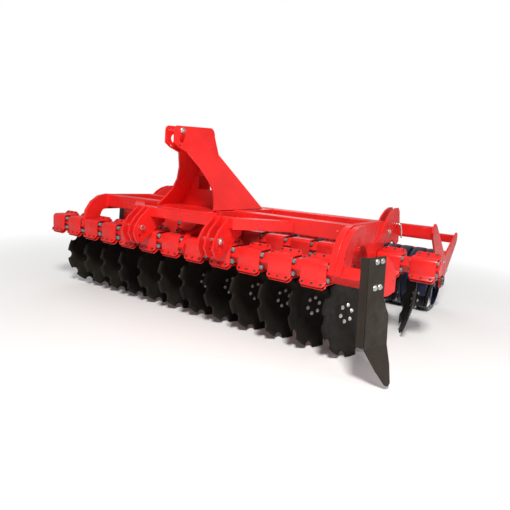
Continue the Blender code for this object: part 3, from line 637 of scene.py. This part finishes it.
# %% [markdown]
# ## Disc arms
#
# A bowed strap of spring steel goes from the clamp down to the disc's hub, in the
# plane of the disc. It ends in an eye, with the spindle through it and a bright
# cap on its outer side. The strap follows one smooth curve with three control
# points, so its outline is that curve moved to both sides by half the width.

# %% Arm
ARM_THICKNESS = 0.022
ARM_WIDTH = 0.037
ARM_PLANE = 0.092
row_axis = Vector(joints["front_disc_01"]["axis"])
disc_height = joints["front_disc_01"]["pos_m"][2]
disc_spot = Vector((DISC_SIDEWAYS, DISC_BEHIND, disc_height))


def arm_outline():
    top = Vector((-DISC_BEHIND + 0.02, BEAM_Z - disc_height - 0.035))
    bend = Vector((0.03, 0.20))
    left, right = [], []
    for i in range(12):
        t = 0.12 + 0.88 * i / 11
        point = 2 * t * (1 - t) * bend + t * t * top
        along = (2 * (1 - 2 * t) * bend + 2 * t * top).normalized()
        side = Vector((along.y, -along.x)) * ARM_WIDTH
        right.append(tuple(point + side))
        left.append(tuple(point - side))
    return arc((0, 0), 0.044, -180, 0, 13) + right + left[::-1]


backwards = Vector((0, 0, 1)).cross(row_axis).normalized()
upwards = row_axis.cross(backwards)
arm_place = Matrix((backwards, upwards, backwards.cross(upwards))).transposed().to_4x4()
arm_place.translation = disc_spot - row_axis * ARM_PLANE
arm = bmesh.new()
add_plate(arm, arm_outline(), ARM_THICKNESS, arm_place)
spindle = bmesh.new()
add_rod(spindle, disc_spot - row_axis * (ARM_PLANE + 0.02), disc_spot - row_axis * 0.034, 0.018)
cap = bmesh.new()
add_turned(cap, [(0, 0.021), (0.020, 0.020), (0.031, 0.016), (0.036, 0.010), (0.038, 0.0),
                 (0, 0.0)], facing(-row_axis, disc_spot - row_axis * (ARM_PLANE + 0.0112)))
print("arm faces:", len(arm.faces))

# %% [markdown]
# ## The two disc rows
#
# The rear row is the front row's mirror image, set back on its own beam. So every
# part of a mount is drawn once at zero and then copied with a matrix per clamp.
# The copies of one kind are a single mesh in each row, because they never move
# against each other.

# %% Disc rows
BOLT_PITCH = 0.065
ROD_SPOT = 0.0435
ROD_RADIUS = 0.0165
ROD_STICKS_OUT = 0.011
ROD_BULGE = ROD_RADIUS * 1.06
half_turn = Matrix.Translation((0, 0, BEAM_Z)) @ Matrix.Rotation(math.pi, 4, "X")
upright = Matrix.Translation((0, 0, BEAM_Z))
rods = bmesh.new()
rod_end = CLAMP_HALF + ROD_STICKS_OUT
half_rod = [(0, rod_end), (ROD_RADIUS * 0.8, rod_end), (ROD_BULGE, rod_end - 0.004),
            (ROD_BULGE, rod_end - 0.009), (ROD_RADIUS, rod_end - 0.014)]
rod_profile = [(radius, -height) for radius, height in half_rod] + half_rod[::-1]
for y_sign, z_sign in ((-1, -1), (-1, 1), (1, -1), (1, 1)):
    spot = Vector((0, y_sign * ROD_SPOT, BEAM_Z + z_sign * ROD_SPOT))
    add_turned(rods, rod_profile, facing((1, 0, 0), spot), 14)
clamp_bolts = []
split_normal = Vector((0, -math.sqrt(0.5), math.sqrt(0.5)))
for end in (-1, 1):
    for step in (-1, 0, 1):
        y, z = along_flange(end * 0.112, 0)
        seat = Vector((step * BOLT_PITCH, y, z + BEAM_Z))
        clamp_bolts.append((seat + split_normal * SHELL_WALL, split_normal))
        clamp_bolts.append((seat - split_normal * SHELL_WALL, -split_normal))
row_moves = {}
for row, mirror, sideways in (("front", Matrix(), -DISC_SIDEWAYS),
                              ("rear", MIRROR_X, DISC_SIDEWAYS)):
    spots = [Vector(joints[name]["pos_m"]) for name in disc_names if name.startswith(row)]
    row_moves[row] = [Matrix.Translation((spot.x + sideways, spot.y - DISC_BEHIND, 0)) @ mirror
                      for spot in spots]
for row, moves in row_moves.items():
    node = row + "_disc_gang"
    shells, row_rods, arms, caps, spindles = [bmesh.new() for _ in range(5)]
    bolts = []
    for move in moves:
        add_copy(shells, shell, move @ upright)
        add_copy(shells, shell, move @ half_turn)
        add_copy(row_rods, rods, move)
        add_copy(arms, arm, move)
        add_copy(caps, cap, move)
        add_copy(spindles, spindle, move)
        bolts += [(move @ seat, move.to_3x3() @ way) for seat, way in clamp_bolts]
    low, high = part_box(node)
    beam = bmesh.new()
    half = BEAM_SIDE / 2
    tilt = (Matrix.Translation((0, moves[0].translation.y, BEAM_Z))
            @ Matrix.Rotation(math.pi / 4, 4, "X"))
    add_box(beam, (low[0], -half, -half), (high[0], half, half), tilt)
    made_beam = piece(row + "_beam", beam, red_gloss, "frame", 0.006)
    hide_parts(node)
    piece(row + "_clamp_shells", shells, red_gloss, "frame", sharp=28)
    piece(row + "_rubber_rods", row_rods, rubber, "frame", sharp=50)
    piece(row + "_disc_arms", arms, arm_paint, "frame", 0.003)
    piece(row + "_bearing_caps", caps, zinc, "frame", sharp=25)
    piece(row + "_spindles", spindles, thread_steel, "frame")
    bolt_set(row + "_clamp_bolts", bolts, red_gloss, "frame", 0.023, 0.012, 0.0)
    ends = [(seat + way * 0.0115, way) for seat, way in bolts]
    bolt_set(row + "_clamp_thread_ends", ends, thread_steel, "frame",
             0.013, 0.003, 0.0)
print("rows dressed:", list(row_moves))

# %% [markdown]
# ## Frame tubes and plates
#
# The frame's own solids already have the right shape, but their edges are as
# sharp as a knife, which no rolled tube is. Two modifiers mend that without
# touching their meshes: Weld joins their loose triangles, and Bevel rounds what
# is left as a real edge. Tubes get a wider radius than flame-cut plates.

# %% Round the edges of the frame's solids
TUBE_EDGE = 0.008
PLATE_EDGE = 0.0018
tube_nodes = ["front_cross_tube", "rear_cross_tube", "front_hitch_tube", "diagonal_brace_left",
              "diagonal_brace_right", "front_rail_left", "front_rail_right", "rear_rail_left",
              "rear_rail_right", "roller_front_tube", "roller_rear_tube", "scraper_bar"]
plate_nodes = ["front_beam_hanger", "rear_beam_hanger", "deflector_bracket_left",
               "deflector_bracket_right", "roller_end_plate_left", "roller_end_plate_right",
               "roller_arm_left", "roller_arm_right"]
pin_nodes = ["top_link_pin", "depth_pin_left", "depth_pin_right"]


def soften(node, finish, width):
    thing = frame["nodes"][node]
    weld = thing.modifiers.new("joined", "WELD")
    weld.merge_threshold = 0.00005
    add_bevel(thing, width)
    thing.data.materials.clear()
    thing.data.materials.append(finish)


for node in tube_nodes:
    soften(node, red_gloss, TUBE_EDGE)
for node in plate_nodes:
    soften(node, red_gloss, PLATE_EDGE)
for node in pin_nodes:
    soften(node, zinc, 0.001)
for side in ("left", "right"):
    soften("side_deflector_" + side, deflector_paint, 0.001)
print("softened:", len(tube_nodes + plate_nodes + pin_nodes) + 2)

# %% [markdown]
# ## Headstock
#
# The two tall plates lean out below a crease and meet the frame as an A. Each is
# cut with a lifting hole and a spare hole for the top link pin. A copy of the
# frame's solid is welded, its flat triangles are joined, and a Boolean cuts the
# holes. The gusset between their feet ties them to the hitch tube.


# %% Drilled copies of the frame's solids
def drilled_copy(name, node, holes, finish, width, body="frame"):
    """Copy a node, cut round holes along X through it, and show it instead."""
    bm = bmesh.new()
    bm.from_mesh(frame["nodes"][node].data)
    bmesh.ops.remove_doubles(bm, verts=bm.verts, dist=0.00001)
    bmesh.ops.dissolve_limit(bm, angle_limit=math.radians(0.5), verts=bm.verts, edges=bm.edges)
    thing = new_object(name, bm)
    if holes:
        cutters = bmesh.new()
        low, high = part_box(node)
        for y, z, radius in holes:
            add_rod(cutters, (low.x - 0.01, y, z), (high.x + 0.01, y, z), radius, 24)
        cutter = new_object("cutter", cutters)
        cut = thing.modifiers.new("holes", "BOOLEAN")
        cut.operation = "DIFFERENCE"
        cut.object = cutter
        bpy.context.view_layer.update()
        evaluated = thing.evaluated_get(bpy.context.evaluated_depsgraph_get())
        mesh = bpy.data.meshes.new_from_object(evaluated)
        thing.modifiers.clear()
        thing.data = mesh
        bpy.data.objects.remove(cutter)
    dress(thing, finish, body, width)
    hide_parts(node)
    return thing


design_back = joints["front_disc_01"]["pos_m"][1] - DISC_BEHIND
head_holes = [(design_back - 0.168, 1.420, 0.030), (design_back - 0.192, 1.368, 0.010)]
for side in ("left", "right"):
    drilled_copy(f"headstock_{side}", "headstock_plate_" + side, head_holes, red_gloss, PLATE_EDGE)
drilled_copy("headstock_back", "headstock_back_plate", [], red_gloss, PLATE_EDGE)
print("headstock drilled")


# %% [markdown]
# ## Gusset
#
# A flat plate joins the front tube to the cross tube behind it, between the feet
# of the headstock. It is one outline with two rounded corners, given a thickness.

# %% Gusset between the feet
GUSSET_HALF = 0.30
GUSSET_CORNER = 0.10
GUSSET_THICKNESS = 0.016


def add_gusset():
    hitch_low, hitch_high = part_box("front_hitch_tube")
    cross_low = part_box("front_cross_tube")[0]
    front, back = hitch_low.y + 0.004, cross_low.y - 0.0005
    straight = GUSSET_HALF - GUSSET_CORNER
    outline = [(-GUSSET_HALF, back), (GUSSET_HALF, back), (GUSSET_HALF, front + GUSSET_CORNER)]
    outline += arc((straight, front + GUSSET_CORNER), GUSSET_CORNER, 0, -90, 8)
    outline += arc((-straight, front + GUSSET_CORNER), GUSSET_CORNER, 270, 180, 8)
    bm = bmesh.new()
    middle = Matrix.Translation((0, 0, hitch_high.z + GUSSET_THICKNESS / 2))
    add_plate(bm, outline, GUSSET_THICKNESS, middle)
    piece("headstock_gusset", bm, red_gloss, "frame", 0.002)


add_gusset()
print("gusset fitted")

# %% [markdown]
# ## Lower hitch and side arches
#
# Both are plates with spare pin holes. The side arches end in two ears, one on
# each side of the roller arm, with a staggered grid of holes: a pin through one of
# them stops the arm, and moving it to another changes the working depth.

# %% Lower hitch, arches and their holes
for side in ("left", "right"):
    drilled_copy(f"lower_hitch_plates_{side}", "lower_hitch_" + side,
                 [(design_back - 0.205, 0.660, 0.015)], red_gloss, PLATE_EDGE)
EAR_BACK = 1.052
COLUMN_SPACING = 0.035
HOLE_PITCH = 0.034
STOP_HOLE = 0.0085
LOWEST_HOLE = 0.768
HOLE_FROM_EDGE = 0.022
HOLE_FROM_PIN = 0.027
HUMP_CENTRE = (1.10, 0.62)
HUMP_RADIUS = 0.39
PIN_SPOT = (1.13, 0.875)
stop_holes = []
for column in range(4):
    for row in range(7):
        y = EAR_BACK + column * COLUMN_SPACING
        z = LOWEST_HOLE + (row + column % 2 / 2) * HOLE_PITCH
        inside = math.dist((y, z), HUMP_CENTRE) < HUMP_RADIUS - HOLE_FROM_EDGE
        if inside and math.dist((y, z), PIN_SPOT) > HOLE_FROM_PIN:
            stop_holes.append((design_back + y, z, STOP_HOLE))
for side in ("left", "right"):
    drilled_copy(f"arch_{side}", "side_arch_" + side, stop_holes, red_gloss, PLATE_EDGE)
print("stop holes:", len(stop_holes))

# %% [markdown]
# ## Pins, handles and rings
#
# The pins are bright zinc. Each hitch pin has a head outside, a linch pin with its
# sprung ring, and the stop pins have a bent handle that hangs down. A wire shape
# is a curve with a round bevel, turned into a mesh before it is placed.


# %% Wires
def wire(name, points, radius, finish, body, closed=False):
    curve = bpy.data.curves.new(name, "CURVE")
    curve.dimensions = "3D"
    curve.bevel_depth = radius
    curve.bevel_resolution = 3
    curve.use_fill_caps = True
    spline = curve.splines.new("POLY")
    spline.points.add(len(points) - 1)
    for target, point in zip(spline.points, points):
        target.co = (*point, 1)
    spline.use_cyclic_u = closed
    source = bpy.data.objects.new(name + "_curve", curve)
    bpy.context.scene.collection.objects.link(source)
    bpy.context.view_layer.update()
    mesh = bpy.data.meshes.new_from_object(
        source.evaluated_get(bpy.context.evaluated_depsgraph_get()))
    bpy.data.objects.remove(source)
    thing = bpy.data.objects.new(name, mesh)
    bpy.context.scene.collection.objects.link(thing)
    return dress(thing, finish, body, sharp=45)


def ring_points(centre, radius, across, up, count=24, start=0.0, sweep=2 * math.pi):
    across, up = Vector(across), Vector(up)
    return [Vector(centre) + radius * (across * math.cos(start + sweep * i / count)
                                       + up * math.sin(start + sweep * i / count))
            for i in range(count)]


print("wires can be made")

# %% Pins with their heads, rings and handles
LOWER_PIN_BACK = -0.20
LOWER_PIN_Z = 0.728
LOWER_PIN_RADIUS = 0.0141
DEPTH_PIN_BACK = 1.13
DEPTH_PIN_RADIUS = 0.012
EAR_OUTSIDE = 1.282
EAR_INSIDE = 1.205
hardware = bmesh.new()
for sign, side in ((-1, "left"), (1, "right")):
    low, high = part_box("lower_hitch_" + side)
    outside = max(abs(low.x), abs(high.x))
    inside = min(abs(low.x), abs(high.x))
    y, z = design_back + LOWER_PIN_BACK, LOWER_PIN_Z
    add_turned(hardware, [(0, 0), (0.023, 0), (0.025, 0.002), (0.025, 0.008), (0.022, 0.011),
                          (0, 0.011)], facing((sign, 0, 0), (sign * (outside - 0.010), y, z)), 28)
    for near, far in ((outside - 0.08, outside + 0.012), (inside - 0.016, inside + 0.1)):
        add_rod(hardware, (sign * near, y, z), (sign * far, y, z), LOWER_PIN_RADIUS, 24)
    ring_spot = (sign * (inside - 0.008), y, z)
    wire(f"linch_ring_{side}", ring_points(ring_spot, 0.021, (0, 1, 0), (0, 0, 1)), 0.0016, zinc,
         "frame", True)
    pin_y = design_back + DEPTH_PIN_BACK
    pin_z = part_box("depth_pin_right")[0].z + DEPTH_PIN_RADIUS
    end = sign * (EAR_OUTSIDE + 0.020)
    handle = [(end - sign * 0.006, pin_y, pin_z), (end + sign * 0.006, pin_y, pin_z)]
    handle += [(end + sign * 0.014, pin_y + 0.004, pin_z - 0.006),
               (end + sign * 0.018, pin_y + 0.022, pin_z - 0.045),
               (end + sign * 0.018, pin_y + 0.050, pin_z - 0.115)]
    wire(f"stop_pin_handle_{side}", handle, 0.0065, zinc, "frame")
    ring_spot = (sign * EAR_INSIDE, pin_y + 0.02, pin_z + 0.018)
    wire(f"stop_pin_ring_{side}", ring_points(ring_spot, 0.022, (0.5, 0.87, 0), (0, 0, 1)), 0.002,
         zinc, "frame", True)
top_low, top_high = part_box("top_link_pin")
top_y, top_z = (top_low.y + top_high.y) / 2, (top_low.z + top_high.z) / 2
for sign in (-1, 1):
    add_turned(hardware, [(0, 0), (0.020, 0), (0.022, 0.002), (0.022, 0.006), (0.019, 0.009),
                          (0, 0.009)], facing((sign, 0, 0), (sign * 0.0505, top_y, top_z)), 24)
piece("hitch_pin_heads", hardware, zinc, "frame", sharp=28)
print("pins made")

# %% [markdown]
# ## Bolted joints
#
# Each deflector hangs on four zinc bolts, each of the roller's end plates has three
# above the bearing, and the pivot pins are held by a nut on either side. Each set
# is a list of seats with the way that the heads point, fed to the bolt tree.

# %% Deflector, bearing and pivot bolts
ARCH_X = 1.25
PIVOT_NUT_SEAT = 0.0325
END_PLATE_FACE = 1.5431
corner = Vector((1.525, design_back - 0.206, 0.785))
deflector_turn = (Matrix.Translation(corner) @ Matrix.Rotation(math.radians(-16.3), 4, "Z")
                  @ Matrix.Rotation(math.radians(-2.9), 4, "Y"))
rear_shift = joints["rear_disc_01"]["pos_m"][1] - joints["front_disc_01"]["pos_m"][1]
to_left = Matrix.Translation((0, rear_shift, 0)) @ MIRROR_X
seats = []
for y, z in ((0.075, -0.028), (0.128, -0.026), (0.070, -0.180), (0.118, -0.178)):
    seat = deflector_turn @ Vector((0.0032, y, z))
    way = deflector_turn.to_3x3() @ Vector((1, 0, 0))
    seats.append((seat, way))
    seats.append((to_left @ seat, to_left.to_3x3() @ way))
bolt_set("deflector_bolts", seats, zinc, "frame", 0.022, 0.010, 0.004)
seats = []
pivot = Vector(joints["roller_frame"]["pos_m"])
for sign in (-1, 1):
    for reach in (-1, 1):
        outside = sign * ARCH_X + reach * PIVOT_NUT_SEAT
        seats.append((Vector((outside, pivot.y, pivot.z)), Vector((reach, 0, 0))))
bolt_set("pivot_nuts", seats, zinc, "frame", 0.036, 0.012, 0.004)
seats = []
roller_axis = Vector(joints["packer_roller"]["pos_m"])
for sign in (-1, 1):
    for y, z in ((-0.01, 0.19), (0.14, 0.09), (-0.14, 0.12)):
        seat = Vector((sign * END_PLATE_FACE, roller_axis.y + y, roller_axis.z + z))
        seats.append((seat, (sign, 0, 0)))
bolt_set("end_plate_bolts", seats, zinc, "roller_frame", 0.024, 0.010, 0.006)
print("bolts set")

# %% [markdown]
# ## The packer roller
#
# The roller is a tube with U-shaped steel rings pressed on it at one pitch, wide
# enough to carry the machine and open enough to shed mud. It is the clearest case
# for Geometry Nodes: a rounded rectangle is swept round a circle, and the ring is
# repeated on a line. Pitch, width, depth and count are the inputs of the tree.

# %% Roller tree
RING_PITCH = 0.125
RING_WIDTH = 0.096
RING_DEPTH = 0.042
ROLLER_HALF = 1.50
ROLLER_RADIUS = 0.30
ring_count = int(2 * ROLLER_HALF / RING_PITCH)
roller_tree, given, result = new_tree("ringed roller", [
    ("Radius", "NodeSocketFloat", ROLLER_RADIUS), ("Ring width", "NodeSocketFloat", RING_WIDTH),
    ("Ring depth", "NodeSocketFloat", RING_DEPTH), ("Pitch", "NodeSocketFloat", RING_PITCH),
    ("Rings", "NodeSocketInt", ring_count), ("Finish", "NodeSocketMaterial", None)])
add = roller_tree.nodes.new
profile = add("GeometryNodeCurvePrimitiveQuadrilateral")
link(roller_tree, given, "Ring depth", profile, "Width")
link(roller_tree, given, "Ring width", profile, "Height")
round_off = add("GeometryNodeFilletCurve")
link(roller_tree, profile, "Curve", round_off, "Curve")
round_off.mode = "POLY"
round_off.inputs["Count"].default_value = 3
round_off.inputs["Radius"].default_value = 0.014
path = add("GeometryNodeCurvePrimitiveCircle")
path.inputs["Resolution"].default_value = 72
half_depth = maths(roller_tree, "MULTIPLY", given.outputs["Ring depth"], 0.5)
roller_tree.links.new(maths(roller_tree, "SUBTRACT", given.outputs["Radius"], half_depth),
                      path.inputs["Radius"])
sweep = add("GeometryNodeCurveToMesh")
link(roller_tree, path, "Curve", sweep, "Curve")
link(roller_tree, round_off, "Curve", sweep, "Profile Curve")
lay = add("GeometryNodeTransform")
lay.inputs["Rotation"].default_value = (0, math.pi / 2, 0)
link(roller_tree, sweep, "Mesh", lay, "Geometry")
line = add("GeometryNodeMeshLine")
link(roller_tree, given, "Rings", line, "Count")
step = add("ShaderNodeCombineXYZ")
link(roller_tree, given, "Pitch", step, "X")
link(roller_tree, step, "Vector", line, "Offset")
begin = add("ShaderNodeCombineXYZ")
length = maths(roller_tree, "MULTIPLY", given.outputs["Pitch"],
               maths(roller_tree, "SUBTRACT", given.outputs["Rings"], 1))
roller_tree.links.new(maths(roller_tree, "MULTIPLY", length, -0.5), begin.inputs["X"])
link(roller_tree, begin, "Vector", line, "Start Location")
repeat = add("GeometryNodeInstanceOnPoints")
link(roller_tree, line, "Mesh", repeat, "Points")
link(roller_tree, lay, "Geometry", repeat, "Instance")
both = add("GeometryNodeJoinGeometry")
link(roller_tree, repeat, "Instances", both, "Geometry")
link(roller_tree, given, "Geometry", both, "Geometry")
real = add("GeometryNodeRealizeInstances")
link(roller_tree, both, "Geometry", real, "Geometry")
paint_it = add("GeometryNodeSetMaterial")
link(roller_tree, real, "Geometry", paint_it, "Geometry")
link(roller_tree, given, "Finish", paint_it, "Material")
link(roller_tree, paint_it, "Geometry", result, "Geometry")
print("roller tree:", len(roller_tree.nodes), "nodes,", ring_count, "rings")


# %% Roller core and pieces
def roller_core():
    """Open tube with a spoked web near each end; the axis lies along X at zero."""
    bm = bmesh.new()
    outer, inner = ROLLER_RADIUS - RING_DEPTH + 0.004, 0.246
    half = ROLLER_HALF - 0.006
    add_turned(bm, [(inner, -half), (outer, -half), (outer, half), (inner, half), (inner, -half)],
               facing((1, 0, 0)), 72)
    for sign in (-1, 1):
        x = sign * (ROLLER_HALF - 0.038)
        for index in range(6):
            angle = math.pi / 3 * index
            spoke = Matrix.Rotation(angle, 4, "X")
            add_box(bm, (x - 0.006, -0.030, 0.03), (x + 0.006, 0.030, 0.250), spoke)
        boss = [(0.026, -0.02), (0.060, -0.02), (0.060, 0.02), (0.026, 0.02), (0.026, -0.02)]
        add_turned(bm, boss, facing((1, 0, 0), (x, 0, 0)), 32)
    axle_end = ROLLER_HALF + 0.056
    add_rod(bm, (-axle_end, 0, 0), (axle_end, 0, 0), 0.0250, 32)
    bmesh.ops.remove_doubles(bm, verts=bm.verts, dist=0.00001)
    bmesh.ops.recalc_face_normals(bm, faces=bm.faces)
    return bm


core = new_object("roller_core", roller_core())
roller = run_tree("ringed_roller", core, roller_tree, {"Finish": navy_paint})
roller.data.transform(Matrix.Translation(roller_axis))
dress(roller, navy_paint, "packer_roller", sharp=40)
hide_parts("packer_roller")
print("roller faces:", len(roller.data.polygons))

# %% [markdown]
# ## Bearings and scrapers
#
# A cast bearing sits on each end plate, and a scraper reaches into every groove of
# the roller from the bar behind it, so that mud can't build up between the rings.

# %% Bearings and scrapers
bearings = bmesh.new()
for sign in (-1, 1):
    seat = Vector((sign * (END_PLATE_FACE + 0.0001), roller_axis.y, roller_axis.z))
    way = facing((sign, 0, 0), seat)
    add_turned(bearings, [(0.0262, 0), (0.058, 0), (0.060, 0.003), (0.052, 0.010), (0.042, 0.018),
                          (0.0262, 0.020), (0.0262, 0)], way, 36)
    inner_way = facing((-sign, 0, 0), seat - Vector((sign * 0.0165, 0, 0)))
    add_turned(bearings, [(0.0262, 0), (0.056, 0), (0.050, 0.010), (0.0262, 0.014), (0.0262, 0)],
               inner_way, 36)
piece("roller_bearings", bearings, thread_steel, "roller_frame", sharp=30)
seats = []
for sign in (-1, 1):
    for index in range(4):
        angle = math.pi / 4 + math.pi / 2 * index
        spot = roller_axis + Vector((0, 0.047 * math.cos(angle), 0.047 * math.sin(angle)))
        seats.append((Vector((sign * (END_PLATE_FACE + 0.0079), spot.y, spot.z)), (sign, 0, 0)))
bolt_set("bearing_bolts", seats, zinc, "roller_frame", 0.014, 0.008, 0.003)
bar_low, bar_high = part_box("scraper_bar")
bar = Vector((0, (bar_low.y + bar_high.y) / 2, (bar_low.z + bar_high.z) / 2))
to_axis = (Vector((0, roller_axis.y, roller_axis.z)) - bar).normalized()
reach = (Vector((0, roller_axis.y, roller_axis.z)) - bar).length - 0.274
scrapers = bmesh.new()
seats = []
side_way = Vector((1, 0, 0))
lift = 0.0225 * math.sqrt(2) * 0.72 + 0.006
blade_frame = Matrix((side_way, to_axis, side_way.cross(to_axis))).transposed().to_4x4()
for index in range(ring_count - 1):
    x = (index + 1 - ring_count / 2) * RING_PITCH
    place = Matrix.Translation((x, bar.y, bar.z)) @ blade_frame
    outline = [(-0.020, -0.034), (0.020, -0.034), (0.020, 0.030), (0.010, 0.050), (0.010, reach),
               (-0.010, reach), (-0.010, 0.050), (-0.020, 0.030)]
    add_plate(scrapers, outline, 0.006, place @ Matrix.Translation((0, 0, lift)))
    seats.append((place @ Vector((0, 0, lift + 0.003)), place.to_3x3() @ Vector((0, 0, 1))))
piece("scrapers", scrapers, thread_steel, "roller_frame", 0.001)
bolt_set("scraper_bolts", seats, zinc, "roller_frame", 0.017, 0.009, 0.004)
print("scrapers:", ring_count - 1)

# %% [markdown]
# ## Weld seams
#
# The frame is welded, and a bead shows at every joint of two tubes. A bead is a
# rod of small overlapping ripples. It is made as a turned strip whose radius
# swells a little at each ripple, laid along the joint between two points.


# %% Weld beads
def add_bead(bm, start, end, radius=0.0045, ripple=0.011):
    start, end = Vector(start), Vector(end)
    length = (end - start).length
    count = max(int(length / ripple), 2)
    profile = [(0, 0)]
    for index in range(count):
        base = index * length / count
        profile.append((radius * 0.82, base + 0.0005))
        profile.append((radius, base + length / count * 0.5))
    profile += [(radius * 0.8, length), (0, length)]
    add_turned(bm, profile, facing(end - start, start), 8)


LEG_BOX_WIDTH = 0.045
beads = bmesh.new()


def bead_round_box(low, high, axis):
    """A bead round the end of a tube, in the plane square to one axis."""
    others = [i for i in range(3) if i != axis]
    ring = []
    for a, b in ((0, 0), (1, 0), (1, 1), (0, 1)):
        corner = low.copy()
        corner[others[0]] = (low, high)[a][others[0]]
        corner[others[1]] = (low, high)[b][others[1]]
        ring.append(corner)
    for first, second in zip(ring, ring[1:] + ring[:1]):
        add_bead(beads, first, second)


ends_along = [("front_rail_left", 1), ("front_rail_right", 1), ("rear_rail_left", 1),
              ("rear_rail_right", 1), ("front_cross_tube", 0), ("rear_cross_tube", 0)]
for node, axis in ends_along:
    low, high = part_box(node)
    near, far = Vector(high), Vector(low)
    near[axis] = low[axis]
    far[axis] = high[axis]
    bead_round_box(low, near, axis)
    bead_round_box(far, high, axis)
cross_low, cross_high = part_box("front_cross_tube")
for sign, side in ((-1, "left"), (1, "right")):
    low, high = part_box("headstock_plate_" + side)
    foot_x = high.x if sign > 0 else low.x
    add_bead(beads, (foot_x, cross_low.y + 0.01, cross_high.z + 0.001),
             (foot_x, cross_high.y - 0.01, cross_high.z + 0.001))
    brace_low, brace_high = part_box("diagonal_brace_" + side)
    end_x = brace_high.x if sign > 0 else brace_low.x
    for z in (brace_low.z, brace_high.z):
        add_bead(beads, (end_x, brace_high.y, z), (end_x - sign * 0.10, brace_high.y, z))
    add_bead(beads, (end_x, brace_high.y, brace_low.z), (end_x, brace_high.y, brace_high.z))
seam_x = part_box("side_arch_right")[1].x - LEG_BOX_WIDTH + 0.0005
seam = [Vector((seam_x, design_back + y, z)) for y, z in arc((0.20, 0.66), 0.253, 172, 98, 9)]
for first, second in zip(seam, seam[1:]):
    add_bead(beads, first, second)
piece("weld_beads", beads, red_weld, "frame", sharp=60)
print("beads laid")

# %% [markdown]
# ## Floor and light
#
# The machine stands on white paper that has no far edge. The sky lights it softly
# but looks pure white to the camera, and the floor turns to that same white
# some metres out. One strong lamp from high on the front right does most of the
# rest, and two weak ones open the shadows at the side and the back.

# %% Floor and sky
SKY_LIGHT = 0.34
FADE_START = 1.6
FADE_END = 4.6


def white_to_camera(tree, soft, share):
    """Shader that is plain white to the camera by a share, and soft to all else."""
    white = tree.nodes.new("ShaderNodeEmission")
    white.inputs["Color"].default_value = (1, 1, 1, 1)
    who = tree.nodes.new("ShaderNodeLightPath")
    seen = who.outputs["Is Camera Ray"]
    if share is not None:
        seen = maths(tree, "MULTIPLY", seen, share)
    either = tree.nodes.new("ShaderNodeMixShader")
    tree.links.new(seen, either.inputs[0])
    tree.links.new(soft.outputs[0], either.inputs[1])
    link(tree, white, "Emission", either, 2)
    return either


floor_mesh = bmesh.new()
bmesh.ops.create_grid(floor_mesh, x_segments=1, y_segments=1, size=40)
floor = new_object("floor", floor_mesh)
floor_finish, floor_tree, floor_shader = new_finish("pale_floor", (0.86, 0.86, 0.86), 0.9, 0.0)
floor_place = floor_tree.nodes.new("ShaderNodeTexCoord")
distance = floor_tree.nodes.new("ShaderNodeVectorMath")
distance.operation = "LENGTH"
link(floor_tree, floor_place, "Object", distance, 0)
fade = spread(floor_tree, distance.outputs["Value"], FADE_START, FADE_END)
link(floor_tree, white_to_camera(floor_tree, floor_shader, fade), "Shader",
     floor_tree.nodes["Material Output"], "Surface")
floor.data.materials.append(floor_finish)

world = bpy.data.worlds.new("studio")
bpy.context.scene.world = world
world.use_nodes = True
sky_tree = world.node_tree
sky = sky_tree.nodes["Background"]
sky.inputs["Color"].default_value = (1, 1, 1, 1)
sky.inputs["Strength"].default_value = SKY_LIGHT
link(sky_tree, white_to_camera(sky_tree, sky, None), "Shader",
     sky_tree.nodes["World Output"], "Surface")
print("floor and sky ready")


# %% Lamps
def lamp(name, place, aim, size, power, tint=(1, 1, 1)):
    light = bpy.data.lights.new(name, "AREA")
    light.energy = power
    light.size = size
    light.color = tint
    thing = bpy.data.objects.new(name, light)
    thing.matrix_world = facing(Vector(place) - Vector(aim), place)
    bpy.context.scene.collection.objects.link(thing)


lamp("key", place=(3.2, -5.0, 6.0), aim=(0, -0.3, 0.5), size=1.3, power=600,
     tint=(1.0, 0.98, 0.95))
lamp("side", place=(6.0, -1.0, 2.2), aim=(0.5, 0, 0.5), size=3.0, power=50)
lamp("back", place=(-3.5, 5.0, 4.0), aim=(0, 0, 0.5), size=4.0, power=70)
bpy.context.scene.view_settings.view_transform = "Standard"
print("lamps lit")

# %% [markdown]
# ## Last step
#
# The view layer is updated once more.

# %% Last update
bpy.context.view_layer.update()
